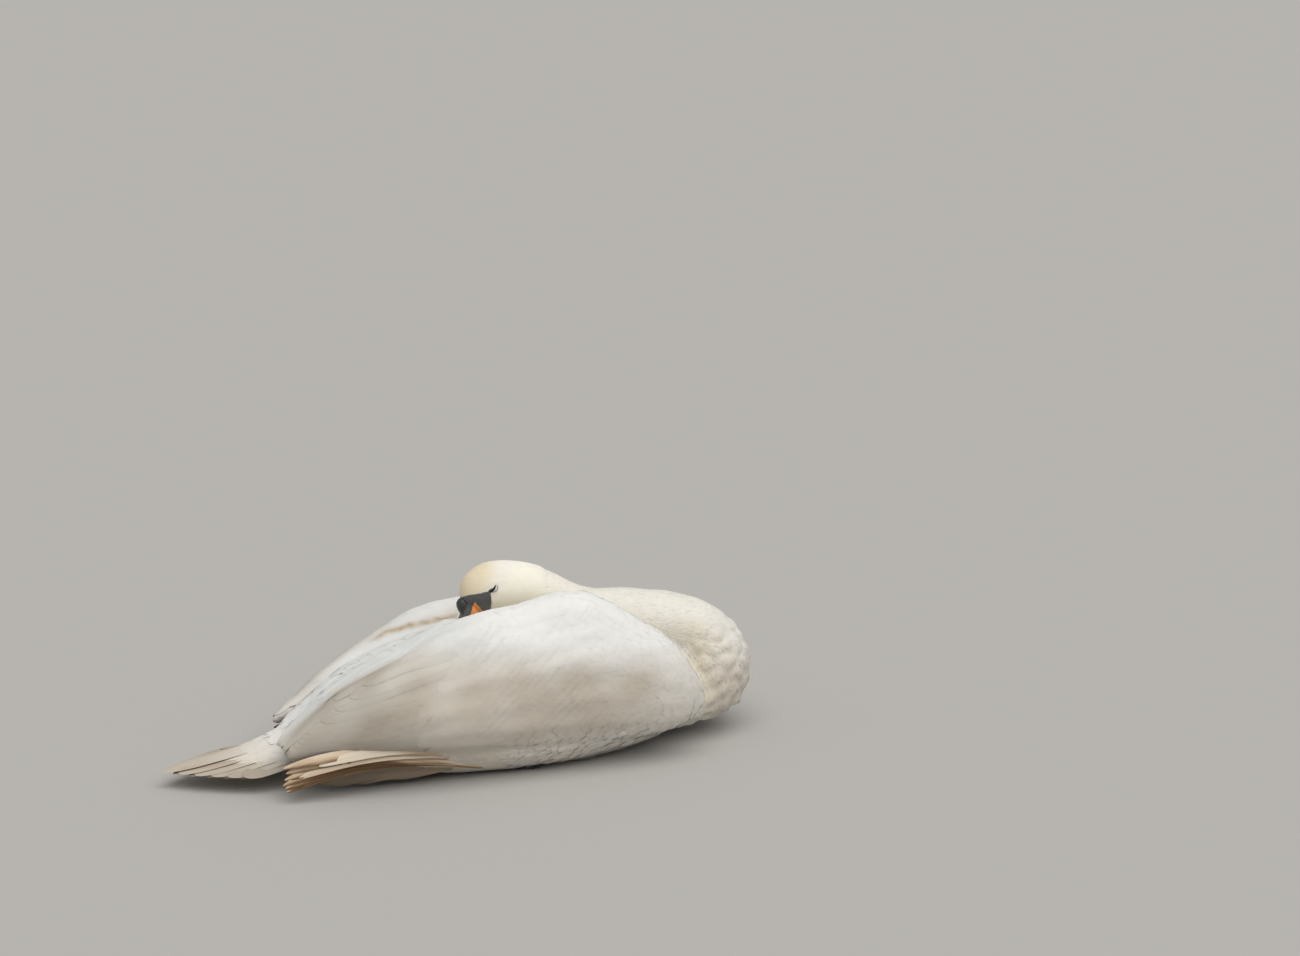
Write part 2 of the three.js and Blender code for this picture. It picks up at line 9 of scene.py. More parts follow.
import bpy
import numpy as np
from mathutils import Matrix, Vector
from mathutils.bvhtree import BVHTree
from mathutils.kdtree import KDTree


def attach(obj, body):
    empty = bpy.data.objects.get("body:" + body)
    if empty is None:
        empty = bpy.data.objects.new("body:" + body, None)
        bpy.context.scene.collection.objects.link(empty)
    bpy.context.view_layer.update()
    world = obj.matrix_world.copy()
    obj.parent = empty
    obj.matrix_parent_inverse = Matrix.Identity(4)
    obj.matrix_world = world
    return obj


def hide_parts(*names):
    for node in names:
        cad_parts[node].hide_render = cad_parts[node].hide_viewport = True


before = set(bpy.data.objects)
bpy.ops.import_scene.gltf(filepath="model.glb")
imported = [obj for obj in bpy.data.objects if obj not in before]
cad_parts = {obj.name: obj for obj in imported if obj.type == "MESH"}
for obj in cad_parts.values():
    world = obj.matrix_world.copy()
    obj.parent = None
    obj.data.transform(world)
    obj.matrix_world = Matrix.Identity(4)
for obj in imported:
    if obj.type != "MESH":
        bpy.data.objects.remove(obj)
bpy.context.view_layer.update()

MM = 0.001
BODY = "root"
FLOOR_CLEARANCE = 0.3 * MM
UP = np.array([0, 0, 1.0])

# ---------------------------------------------------------------- small tools


def mm(values):
    return np.array(values) * MM


def unit(vectors):
    return vectors / np.maximum(np.linalg.norm(vectors, axis=-1, keepdims=True), 1e-12)


def dot(first, second):
    return np.einsum("ij,ij->i", first, second)


def smoothstep(low, high, values):
    share = np.clip((values - low) / (high - low), 0, 1)
    return share * share * (3 - 2 * share)


def rise(low, high, values):
    """A smooth step whose limits are in millimetres."""
    return smoothstep(low * MM, high * MM, values)


def mix(first, second, share):
    """Colours blended by a share for each point."""
    return np.asarray(first) + (np.asarray(second) - np.asarray(first)) * np.asarray(share)[..., None]


def wavy(points, size, seed):
    """A smooth uneven field between about -1 and 1, from a few crossed waves of about `size`."""
    rng = np.random.default_rng(seed)
    total = np.zeros(points.shape[:-1])
    for _ in range(7):
        way = unit(rng.normal(size=3)) * (2 * math.pi / size) * rng.uniform(0.6, 1.5)
        total += np.sin(points @ way + rng.uniform(0, 2 * math.pi))
    return total / 3.2


def along_line(line, count):
    """Evenly numbered places along a line through a few points."""
    steps = np.linspace(0, len(line) - 1, count)
    return np.stack([np.interp(steps, np.arange(len(line)), part) for part in np.transpose(line)], 1)


def turned_round(count):
    """Even angles for one full turn."""
    return np.linspace(0, 2 * math.pi, count, endpoint=False)


def side_name(side):
    return "left" if side > 0 else "right"


def cell_corners(grid):
    """The four corners of each cell of a grid, in order round the cell."""
    return [part.ravel() for part in (grid[:-1, :-1], grid[:-1, 1:], grid[1:, 1:], grid[1:, :-1])]


# ---------------------------------------------------------------- meshes


def new_mesh(name, points, triangles, uv_maps=(), colours=None, normals=None):
    """A smooth-shaded object of triangles, with UV maps and tints given for each point, and normals
    for each corner of each triangle."""
    mesh = bpy.data.meshes.new(name)
    mesh.vertices.add(len(points))
    mesh.vertices.foreach_set("co", np.ascontiguousarray(points, np.float32).ravel())
    corners = np.ascontiguousarray(triangles, np.int32).ravel()
    mesh.loops.add(len(corners))
    mesh.loops.foreach_set("vertex_index", corners)
    mesh.polygons.add(len(triangles))
    mesh.polygons.foreach_set("loop_start", np.arange(len(triangles), dtype=np.int32) * 3)
    mesh.update(calc_edges=True)
    mesh.shade_smooth()
    for map_name, values in uv_maps:
        layer = mesh.uv_layers.new(name=map_name)
        layer.data.foreach_set("uv", np.ascontiguousarray(values[corners], np.float32).ravel())
    if colours is not None:
        rgba = np.ones((len(points), 4), np.float32)
        rgba[:, :3] = colours
        mesh.color_attributes.new("Tint", "FLOAT_COLOR", "POINT").data.foreach_set("color", rgba.ravel())
    if normals is not None:
        mesh.normals_split_custom_set(normals.reshape(-1, 3).tolist())
    thing = bpy.data.objects.new(name, mesh)
    bpy.context.scene.collection.objects.link(thing)
    return thing


def finished(thing, material):
    """Gives a piece its material and the body that it rides on."""
    thing.data.materials.append(material)
    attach(thing, BODY)
    return thing


def mesh_arrays(mesh):
    """A mesh's corner points and triangles."""
    points = np.empty(len(mesh.vertices) * 3, np.float32)
    mesh.vertices.foreach_get("co", points)
    mesh.calc_loop_triangles()
    triangles = np.empty(len(mesh.loop_triangles) * 3, np.int32)
    mesh.loop_triangles.foreach_get("vertices", triangles)
    return points.reshape(-1, 3).astype(float), triangles.reshape(-1, 3)


def node_arrays(name):
    return mesh_arrays(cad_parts[name].data)


def joined(*parts):
    """Several meshes' points and triangles as one."""
    counts = np.cumsum([0] + [len(points) for points, _ in parts[:-1]])
    triangles = [faces + count for (_, faces), count in zip(parts, counts)]
    return np.vstack([points for points, _ in parts]), np.vstack(triangles)


def corners_of(points, triangles):
    """The points at the first, the second and the third corner of each triangle."""
    return [points[corner] for corner in triangles.T]


def facing_out(points, triangles):
    """Triangles turned so that their faces point out of the closed surface that they make."""
    a, b, c = corners_of(points, triangles)
    return triangles if dot(a, np.cross(b, c)).sum() > 0 else triangles[:, ::-1]


def loft(rings):
    """Points and triangles of a closed surface through rings of equal length, ends closed by fans."""
    rings = np.asarray(rings, float)
    rows, sides = rings.shape[:2]
    points = np.vstack([rings.reshape(-1, 3), rings[0].mean(0), rings[-1].mean(0)])
    here = np.arange(sides)
    there = (here + 1) % sides
    last = (rows - 1) * sides
    faces = []
    for low in range(0, last, sides):
        high = low + sides
        faces.append(np.stack([low + here, low + there, high + there], 1))
        faces.append(np.stack([low + here, high + there, high + here], 1))
    faces.append(np.stack([there, here, np.full(sides, rows * sides)], 1))
    faces.append(np.stack([last + here, last + there, np.full(sides, rows * sides + 1)], 1))
    return points, facing_out(points, np.vstack(faces))


def remeshed(points, triangles, voxel, smoothing):
    """One smooth closed surface round overlapping or nearly touching solids."""
    thing = new_mesh("remeshing", points, triangles)
    remesh = thing.modifiers.new("one_surface", "REMESH")
    remesh.mode = "VOXEL"
    remesh.voxel_size = voxel
    smooth = thing.modifiers.new("smooth", "SMOOTH")
    smooth.factor = 0.5
    smooth.iterations = smoothing
    shaped = thing.evaluated_get(bpy.context.evaluated_depsgraph_get())
    arrays = mesh_arrays(bpy.data.meshes.new_from_object(shaped))
    bpy.data.objects.remove(thing)
    return arrays


# ---------------------------------------------------------------- the surface that feathers lie on


def weighed(weights, values):
    """Values at places on triangles, from the values at their corners."""
    return np.einsum("nk,nkj->nj", weights, values)


def barycentric(places, a, b, c):
    """Weights of the corners a, b, c at places on their triangles."""
    whole = np.cross(b - a, c - a)
    size = np.maximum(dot(whole, whole), 1e-20)
    second = dot(np.cross(places - a, c - a), whole) / size
    third = dot(np.cross(b - a, places - a), whole) / size
    return np.stack([1 - second - third, second, third], 1)


def search_tree(places):
    """A tree that finds the nearest of some places."""
    tree = KDTree(len(places))
    for number, place in enumerate(places.tolist()):
        tree.insert(place, number)
    tree.balance()
    return tree


class Surface:
    """A closed surface with normals, a nearest-point search, and even scattering over it."""

    def __init__(self, points, triangles):
        self.points = points
        self.triangles = triangles
        self.refresh()

    def refresh(self):
        a, b, c = corners_of(self.points, self.triangles)
        across = np.cross(b - a, c - a)
        self.areas = np.linalg.norm(across, axis=1) / 2
        normals = np.zeros_like(self.points)
        for corner in self.triangles.T:
            for axis in range(3):
                normals[:, axis] += np.bincount(corner, across[:, axis], len(self.points))
        self.normals = unit(normals)
        self.tree = BVHTree.FromPolygons(self.points.tolist(), self.triangles.tolist())

    def edges(self):
        pairs = np.vstack([self.triangles[:, pair] for pair in ([0, 1], [1, 2], [2, 0])])
        return np.unique(np.sort(pairs, axis=1), axis=0)

    def evened(self, values, rounds, keep=0.3):
        """Values for each corner, averaged with their neighbours round after round."""
        ends = self.edges()
        size = len(self.points)
        count = np.bincount(ends.ravel(), minlength=size)[:, None]
        values = np.array(values, float).reshape(size, -1)
        for _ in range(rounds):
            near = np.stack([
                np.bincount(ends[:, 0], column[ends[:, 1]], size)
                + np.bincount(ends[:, 1], column[ends[:, 0]], size)
                for column in values.T
            ], axis=1)
            values = keep * values + (1 - keep) * near / count
        return values

    def nearest(self, points):
        """The closest places on the surface, and its normals there."""
        find = self.tree.find_nearest
        found = [find(point)[:3] for point in points.reshape(-1, 3).tolist()]
        places = np.array([place for place, _, _ in found])
        corners = self.triangles[np.array([face for _, _, face in found])]
        weights = barycentric(places, *corners_of(self.points, corners))
        normals = unit(weighed(weights, self.normals[corners]))
        return places.reshape(points.shape), normals.reshape(points.shape)

    def scattered(self, faces, spacing, seed):
        """Evenly spread roots on some of the faces: their faces and their weights on its corners.
        `spacing` is given for each face of the surface."""
        rng = np.random.default_rng(seed)
        wanted = self.areas[faces] / spacing[faces] ** 2 * 4
        picks = rng.choice(faces, int(wanted.sum()), p=wanted / wanted.sum())
        first, second = rng.random((2, len(picks)))
        fold = first + second > 1
        first[fold], second[fold] = 1 - first[fold], 1 - second[fold]
        weights = np.stack([1 - first - second, first, second], 1)
        places = self.at(self.points, picks, weights)
        tree = search_tree(places)
        alive = np.ones(len(places), bool)
        for number, (place, reach) in enumerate(zip(places.tolist(), spacing[picks].tolist())):
            if alive[number]:
                close = [other for _, other, _ in tree.find_range(place, reach) if other > number]
                alive[close] = False
        return picks[alive], weights[alive]

    def at(self, values, picks, weights):
        """Values for each corner, read at roots."""
        return weighed(weights, values[self.triangles[picks]])


def refined(surface, chosen):
    """The surface with each edge between two chosen corners halved, and its middle bulged to stay
    round."""
    ends = surface.edges().astype(np.int64)
    ends = ends[chosen[ends].all(1)]
    middle = surface.points[ends].mean(1)
    bulged = middle * 0.3
    for corner in ends.T:
        normal = surface.normals[corner]
        height = dot(middle - surface.points[corner], normal)
        bulged += 0.35 * (middle - normal * height[:, None])
    count = len(surface.points)
    keys = ends[:, 0] * count + ends[:, 1]
    triangles = surface.triangles.astype(np.int64)
    following = np.roll(triangles, -1, axis=1)
    wanted = np.minimum(triangles, following) * count + np.maximum(triangles, following)
    place = np.minimum(np.searchsorted(keys, wanted), len(keys) - 1)
    middles = np.where(keys[place] == wanted, place + count, -1)
    halved = (middles >= 0).sum(1)
    made = [triangles[halved == 0]]
    corner, mid = triangles[halved == 3], middles[halved == 3]
    made += [np.stack([corner[:, k], mid[:, k], mid[:, k - 1]], 1) for k in range(3)] + [mid]
    for number in (1, 2):
        corner, mid = triangles[halved == number], middles[halved == number]
        odd = np.argmax((mid >= 0) == (number == 1), axis=1)
        turn = (odd[:, None] + np.arange(3)) % 3
        a, b, c = np.take_along_axis(corner, turn, 1).T
        first, second, third = np.take_along_axis(mid, turn, 1).T
        cut_once = [(a, first, c), (first, b, c)]
        cut_twice = [(second, c, third), (a, b, second), (a, second, third)]
        made += [np.stack(one, 1) for one in (cut_once if number == 1 else cut_twice)]
    return Surface(np.vstack([surface.points, bulged]), np.vstack(made).astype(np.int32))


# ---------------------------------------------------------------- the head's own directions

HEAD_CENTRE = np.array([0.045, 0.0, 0.240])
HEAD_PITCH = math.radians(40)
HEAD_U = np.array([-math.cos(HEAD_PITCH), 0.0, -math.sin(HEAD_PITCH)])  # forwards along the bill
HEAD_V = np.array([0.0, 1.0, 0.0])
HEAD_W = np.array([-math.sin(HEAD_PITCH), 0.0, math.cos(HEAD_PITCH)])  # up through the crown
HEAD_AXES = np.array([HEAD_U, HEAD_V, HEAD_W])


def in_head(points):
    """How far points are forwards, to the side and up from between the eyes."""
    return np.moveaxis((points - HEAD_CENTRE) @ HEAD_AXES.T, -1, 0)


def from_head(*parts):
    """The reverse of in_head, for numbers or arrays of them."""
    places = HEAD_CENTRE
    for part, axis in zip(parts, HEAD_AXES):
        places = places + np.multiply.outer(part, axis)
    return places


EYE = (-3.5 * MM, 27.6 * MM, 1.0 * MM)
EYE_RADIUS = 6.2 * MM
LID_RADIUS = 7.0 * MM
LID_REACH = 14 * MM  # how far round an eye the surface is finer and can be pushed out


def eye_centre(side, off=EYE[1]):
    return from_head(EYE[0], side * off, EYE[2])


# ---------------------------------------------------------------- the body's outline and its regions

FLESH = (
    "trunk", "wing_right", "wing_left", "back_feathers", "neck_lower", "neck_middle", "neck_upper", "head",
)
VOXEL = 3.4 * MM
SWELL = 0.3 * MM  # closes the thin cuts between the solids
FINE_HEAD = 50 * MM  # how far round the eyes' middle the surface is finer
LUMP = 18.5 * MM
LUMP_HEIGHT = 5.4 * MM
WING_ENDS = {
    "wing_right": (-0.345, -0.106, 0.048),
    "wing_left": (-0.315, 0.084, 0.036),
    "back_feathers": (-0.340, -0.086, 0.045),
}

# The middle of the neck from the forehead back to the breast, as x and z.
NECK_LINE = np.array([
    (0.012, 0.206), (0.045, 0.240), (0.075, 0.249), (0.105, 0.238), (0.157, 0.210), (0.205, 0.186),
    (0.265, 0.175), (0.325, 0.170), (0.372, 0.140), (0.385, 0.100), (0.362, 0.062), (0.320, 0.048),
    (0.240, 0.040),
])

# Soft bodies that the solids don't have, through ovals: x, z, half width and half height of each.
TAIL_CORE = (
    (-0.215, 0.045, 0.056, 0.030), (-0.262, 0.037, 0.053, 0.022), (-0.306, 0.031, 0.042, 0.013),
    (-0.350, 0.027, 0.026, 0.0065), (-0.380, 0.025, 0.012, 0.004),
)
CLEFT_FILLING = (  # between the right wing and the back
    (-0.100, 0.177, 0.012, 0.006), (-0.140, 0.158, 0.015, 0.009), (-0.200, 0.126, 0.016, 0.012),
    (-0.240, 0.095, 0.015, 0.012), (-0.268, 0.074, 0.013, 0.010), (-0.281, 0.064, 0.009, 0.007),
)
CLEFT_Y = -0.092

# How far the near wing's upper feathers stand up against the bill, at some x.
RAISED_X = mm([-95, -62, -38, -19, 5, 31, 62])
RAISED_HEIGHT = mm([0, 8, 13, 13, 10, 6, 0])


def soft_body(ovals, y):
    turn = turned_round(24)
    return loft([
        np.stack([np.full(24, x), y + width * np.cos(turn), z + height * np.sin(turn)], 1)
        for x, z, width, height in ovals
    ])


def outline_surface():
    """The bird's outline as one surface, and the region that each of its corners belongs to."""
    parts = [node_arrays(name) for name in FLESH]
    parts += [soft_body(TAIL_CORE, 0.0), soft_body(CLEFT_FILLING, CLEFT_Y)]
    names = np.array(FLESH + ("tail", "back_feathers"))
    owners = np.concatenate([np.full(len(part[1]), number) for number, part in enumerate(parts)])
    raw = Surface(*joined(*parts))
    surface = Surface(*remeshed(raw.points + raw.normals * SWELL, raw.triangles, VOXEL, 6))
    surface = refined(surface, np.linalg.norm(surface.points - from_head(0, 0, 0), axis=1) < FINE_HEAD)
    eyes = [eye_centre(side, 32 * MM) for side in (-1, 1)]
    to_eye = np.min([np.linalg.norm(surface.points - eye, axis=1) for eye in eyes], axis=0)
    surface = refined(surface, to_eye < LID_REACH)
    find = raw.tree.find_nearest
    nearest_faces = np.array([find(point)[2] for point in surface.points.tolist()])
    regions = names[owners[nearest_faces]]
    surface.points = surface.evened(surface.points, 2)
    surface.refresh()
    surface.points = surface.points + surface.normals * forms(surface, regions)[:, None]
    surface.points[:, 2] += surface.evened(raised_beside_bill(surface), 6)[:, 0]
    for side in (-1, 1):
        over_eye(surface.points, eye_centre(side))
    surface.refresh()
    return surface, regions


def over_eye(points, centre):
    """Pushes the surface out to the lids' ball round an eye, with a soft foot."""
    away = points - centre
    distance = np.linalg.norm(away, axis=1, keepdims=True)
    soft = 0.9 * MM
    risen = distance + soft * np.log1p(np.exp((LID_RADIUS - distance) / soft))
    points += away / np.maximum(distance, 1e-9) * np.where(distance < LID_REACH, risen - distance, 0)


def raised_beside_bill(surface):
    """The near wing's upper feathers stand up against the bill and hide all but its base."""
    x, y, _ = surface.points.T
    inwards = 0.4 + 0.8 * rise(-96, -58, y)
    strip = rise(-150, -100, y) * rise(-26, -40, y)
    height = np.interp(x, RAISED_X, RAISED_HEIGHT)
    return height * inwards * strip * smoothstep(-0.05, 0.35, surface.normals[:, 2])


def forms(surface, regions):
    """How far the plumage swells or sinks beyond the solids: lumps, broad waves and long folds."""
    points = surface.points
    x, _, z = points.T
    home = regions[surface.triangles[:, 0]]
    faces = np.flatnonzero(np.isin(home, ["neck_lower", "neck_middle"]))
    picks, weights = surface.scattered(faces, np.full(len(surface.triangles), LUMP), 5)
    centres = search_tree(surface.at(points, picks, weights))
    breast = smoothstep(0.30, 0.35, x) * smoothstep(0.175, 0.14, z)
    breast = breast * (1 - 0.4 * smoothstep(0.41, 0.44, x))
    lumpy = np.flatnonzero(breast > 0.001)
    nearest_two = [[found[2] for found in centres.find_n(point, 2)] for point in points[lumpy].tolist()]
    first, second = np.array(nearest_two).T
    out = np.zeros(len(points))
    out[lumpy] = (rise(-4, 18, second - first) - 0.6) * LUMP_HEIGHT
    out = surface.evened(out, 2)[:, 0] * breast
    wing = surface.evened(np.isin(regions, ["wing_right", "wing_left", "trunk"]), 12)[:, 0]
    stretched = points * np.array([0.5, 1.0, 1.0])
    turned = np.stack([0.2 * (0.94 * x + 0.34 * z), points[:, 1], 0.94 * z - 0.34 * x], 1)
    out += wing * (1.5 * MM * wavy(stretched, 75 * MM, 21) + 0.5 * MM * wavy(turned, 24 * MM, 22))
    return out * rise(2, 16, z)


def neck_course(points):
    """The way from the head to the breast at the nearest part of the neck."""
    line = along_line(NECK_LINE, 90)
    distance = np.linalg.norm(points[:, None, [0, 2]] - line[None], axis=2)
    near = np.exp(-((distance - distance.min(1, keepdims=True)) / (14 * MM)) ** 2)
    way = near @ np.gradient(line, axis=0)
    return np.stack([way[:, 0], np.zeros(len(way)), way[:, 1]], 1)


def lie_of_feathers(surface, regions):
    """The direction in which the feathers lie at each corner of the surface."""
    lie = np.tile([-1.0, 0.0, -0.05], (len(surface.points), 1))
    for name, end in WING_ENDS.items():
        here = regions == name
        lie[here] = unit(np.array(end) - surface.points[here])
    neck = np.isin(regions, ["neck_lower", "neck_middle", "neck_upper", "head"])
    lie[neck] = unit(neck_course(surface.points[neck]))
    for _ in range(3):
        lie = surface.evened(lie, 8)
        lie -= surface.normals * dot(lie, surface.normals)[:, None]
        lie = unit(lie)
    return lie


# ---------------------------------------------------------------- markings

WHITE = (0.85, 0.845, 0.825)
CREAM = (0.89, 0.855, 0.755)
PALE_CREAM = (0.80, 0.78, 0.71)
CHEEK_BOUNCE_LIGHT = (0.95, 0.92, 0.80)
BUFF = (0.83, 0.70, 0.48)
NAPE = (0.90, 0.875, 0.80)
LOW_NECK = (0.76, 0.735, 0.675)
GREY_SHADE_AND_SOIL = (0.555, 0.50, 0.425)
DARK_SHADE_AND_SOIL = (0.415, 0.37, 0.305)
BEIGE = (0.72, 0.66, 0.58)
OCHRE_CONTACT_SHADE = (0.74, 0.62, 0.40)
SHADOW_BROWN = (0.50, 0.36, 0.20)
LOW_SHADE_AND_SOIL = (0.72, 0.66, 0.56)
COOL = (0.86, 0.875, 0.88)  # what the rear whites are multiplied by

# Lines of brown: painted shadow in the groove on the far wing's inner wall and under that wing's
# end, and a stain on the tail.
GROOVE_SHADOW_LINE = mm([
    (14, 53, 185), (-10, 58, 182), (-34, 64, 178), (-60, 73, 171), (-78, 84, 165), (-90, 84, 158),
])
TAIL_STAIN = mm([(-332, -26, 32), (-362, -20, 28), (-388, -12, 26), (-404, -8, 25)])
END_SHADOW_LINE = mm([(-190, 52, 106), (-204, 42, 98), (-218, 42, 88), (-236, 44, 78)])


def near_line(points, line, reach):
    """How near places are to a line through a few points: 1 on it, fading to 0 at about twice
    `reach`."""
    dense = along_line(line, 8 * len(line))
    low, high = line.min(0) - 2.5 * reach, line.max(0) + 2.5 * reach
    chosen = ((points > low) & (points < high)).all(-1)
    share = np.zeros(points.shape[:-1])
    distance = np.linalg.norm(points[chosen][:, None] - dense[None], axis=-1).min(1)
    share[chosen] = np.exp(-(distance / reach) ** 2)
    return share


def painted(colour, *layers):
    """A colour with others laid over it, each by a share for each point."""
    for tone, share in layers:
        colour = mix(colour, tone, share)
    return colour


def plumage(points):
    """The plumage's colour at places on the bird, with painted shade and painted light laid into it."""
    x, y, z = np.moveaxis(points, -1, 0)
    u, _, w = in_head(points)
    off = np.abs(y)
    patches = wavy(points, 60 * MM, 3)
    # the neck and head are washed with cream, and the crown with buff
    neck = rise(80, 55, off) * rise(165, 190, z + 0.10 * (x - 0.05)) * smoothstep(0.46, 0.30, x)
    neck = neck * smoothstep(-0.01, 0.03, x)
    near_head = rise(95, 60, np.hypot(u, w)) * (off < 45 * MM)
    crown = near_head * rise(-60, -2, u + 0.4 * w) * rise(-4, 26, w + 0.35 * u)
    # the lower front of the neck, and warm painted shade on the neck along the wings' front edges, where
    # they meet
    bulge = smoothstep(0.25, 0.33, x) * smoothstep(0.19, 0.15, z)
    shade_beside_wing = smoothstep(0.43, 0.36, x) * smoothstep(0.10, 0.22, x) * rise(44, 76, off) * rise(98, 86, off)
    shade_beside_wing = np.clip(shade_beside_wing * smoothstep(0.03, 0.07, z) * (0.5 + 0.3 * patches), 0, 1)
    groove_shadow = near_line(points, GROOVE_SHADOW_LINE, 5 * MM) * (0.8 + 0.3 * wavy(points, 16 * MM, 9))
    # the wings' outer sides and ends are greyed, darkest towards the rear: partly painted shade, partly
    # soiling
    outer = off + 0.2 * np.clip(-0.13 - x, 0, 0.08) + 0.10 * np.clip(0.06 - x, 0, 0.14)
    outer = smoothstep(0.088, 0.132, outer)
    side = smoothstep(0.205, 0.150, z + 0.12 * np.clip(x, -0.15, 0.25)) * smoothstep(0.38, 0.20, x)
    side = side * (1 - 0.45 * smoothstep(0.065, 0.04, z) * smoothstep(-0.02, 0.05, x))
    shade_and_soil = mix(GREY_SHADE_AND_SOIL, DARK_SHADE_AND_SOIL, smoothstep(-0.06, -0.18, x))
    colour = painted(
        WHITE,
        (CREAM, neck * 0.9),
        (PALE_CREAM, neck * smoothstep(0.14, 0.24, x) * 0.8),
        (NAPE, near_head * rise(-20, -60, u)),
        # painted light: the lower cheek is made paler for the light thrown up onto it from the white back
        (CHEEK_BOUNCE_LIGHT, near_head * rise(10, -14, w) * rise(30, 0, u)),
        (BUFF, crown * (0.85 + 0.1 * patches)),
        (LOW_NECK, bulge * 0.8),
        # warm painted contact shadow on the neck beside the wings
        (OCHRE_CONTACT_SHADE, shade_beside_wing),
        # brown painted shadow in the groove between the wings, and under the far wing's end
        (SHADOW_BROWN, np.clip(groove_shadow, 0, 1)),
        (SHADOW_BROWN, near_line(points, END_SHADOW_LINE, 5 * MM) * 0.8),
        # painted shade with some soiling on the wings' outer sides and ends
        (shade_and_soil, np.clip(outer * side * (0.92 + 0.14 * patches), 0, 1)),
    )
    # the rear whites are cooler, and the middle of the wing has fine slanting streaks
    cool = smoothstep(0.06, -0.05, x) * (1 - outer * side) * smoothstep(0.07, 0.10, z)
    across, along = 0.77 * z - 0.64 * x, -0.64 * z - 0.77 * x
    streaks = wavy(np.stack([across, along * 0.07, 0 * x], -1), 6 * MM, 12)
    streaked = outer * smoothstep(-0.06, 0.0, x) * smoothstep(0.22, 0.12, x) * smoothstep(0.06, 0.09, z)
    shade = 1 - 0.10 * np.clip(streaks, 0, 1) * streaked
    colour = colour * mix((1.0, 1.0, 1.0), COOL, cool) * shade[..., None]
    # the tail's coverts turn beige, the low breast is darkened by painted shade and some soiling, and low
    # down everything is darker and warmer towards the ground: partly soiling, partly painted shade and warm
    # bounce from the ground
    return np.clip(painted(
        colour,
        (BEIGE, smoothstep(-0.24, -0.33, x) * smoothstep(0.095, 0.065, z)),
        # painted shade with some soiling on the low breast
        (GREY_SHADE_AND_SOIL, smoothstep(0.32, 0.37, x) * smoothstep(0.14, 0.08, z) * 0.85),
        # darker and warmer towards the ground: soiling with painted shade and painted warm bounce from the
        # ground
        (LOW_SHADE_AND_SOIL, np.clip(rise(70, 15, z) * (0.45 + 0.35 * patches), 0, 1)),
    ), 0, 1)


# ---------------------------------------------------------------- materials


class Nodes:
    """A short way to wire a material's nodes."""

    def __init__(self, name):
        self.material = bpy.data.materials.new(name)
        self.material.use_nodes = True
        self.tree = self.material.node_tree
        self.shader = self.tree.nodes["Principled BSDF"]
        self.place = self.node("ShaderNodeNewGeometry").outputs["Position"]

    def node(self, kind, inputs=None, **settings):
        made = self.tree.nodes.new(kind)
        for key, value in settings.items():
            setattr(made, key, value)
        for key, value in (inputs or {}).items():
            if isinstance(value, bpy.types.NodeSocket):
                self.tree.links.new(value, made.inputs[key])
            else:
                made.inputs[key].default_value = value
        return made

    def tint(self):
        return self.node("ShaderNodeAttribute", attribute_name="Tint").outputs["Color"]

    def worked(self, operation, *values):
        """One step of arithmetic."""
        return self.node("ShaderNodeMath", dict(enumerate(values)), operation=operation).outputs[0]

    def noise(self, scale, detail=3.0):
        inputs = {"Vector": self.place, "Scale": scale, "Detail": detail}
        return self.node("ShaderNodeTexNoise", inputs).outputs["Fac"]

    def ranged(self, value, low, high, to_low, to_high):
        inputs = {"Value": value, "From Min": low, "From Max": high, "To Min": to_low, "To Max": to_high}
        return self.node("ShaderNodeMapRange", inputs).outputs["Result"]

    def uneven(self, scale, low, high):
        """Noise that mostly stays between two values."""
        return self.ranged(self.noise(scale), 0.3, 0.7, low, high)

    def shaded(self, colour, *values):
        """A colour multiplied by grey values."""
        for value in values:
            made = self.node("ShaderNodeMix", {"Factor": 1.0}, data_type="RGBA", blend_type="MULTIPLY")
            self.tree.links.new(colour, made.inputs["A"])
            self.tree.links.new(value, made.inputs["B"])
            colour = made.outputs["Result"]
        return colour

    def bump(self, height, distance, strength, under=None):
        inputs = {"Height": height, "Distance": distance, "Strength": strength}
        if under is not None:
            inputs["Normal"] = under
        return self.node("ShaderNodeBump", inputs).outputs["Normal"]

    def link(self, value, socket):
        self.tree.links.new(value, self.shader.inputs[socket])


def barbs(n, count, slant, waver_scale, waver):
    """Fine ridges that slant away from a vane's shaft, and the distance from the shaft."""
    vane = n.node("ShaderNodeUVMap", uv_map="Vane").outputs["UV"]
    split = n.node("ShaderNodeSeparateXYZ", {"Vector": vane}).outputs
    off = n.worked("ABSOLUTE", n.worked("SUBTRACT", split["X"], 0.5))
    slanting = n.worked("MULTIPLY_ADD", off, slant, split["Y"])
    phase = n.worked("MULTIPLY_ADD", n.noise(waver_scale, 2.0), waver, slanting)
    return n.worked("SINE", n.worked("MULTIPLY", phase, count * 2 * math.pi)), off


def feather_material(name, barb_count, barb_depth):
    """White vanes: the tint, faint mottling, and barbs as fine ridges."""
    n = Nodes(name)
    ridges, _ = barbs(n, barb_count, -0.45, 260.0, 0.05)
    fine = n.ranged(ridges, -1.0, 1.0, 0.975, 1.01)
    n.link(n.shaded(n.tint(), n.uneven(90.0, 0.98, 1.01), fine), "Base Color")
    n.link(n.uneven(500.0, 0.62, 0.82), "Roughness")
    n.link(n.bump(ridges, barb_depth, 0.6, n.bump(n.noise(700.0), 0.25 * MM, 0.5)), "Normal")
    n.shader.inputs["Specular IOR Level"].default_value = 0.25
    n.shader.inputs["Sheen Weight"].default_value = 0.25
    n.shader.inputs["Sheen Roughness"].default_value = 0.5
    return n.material


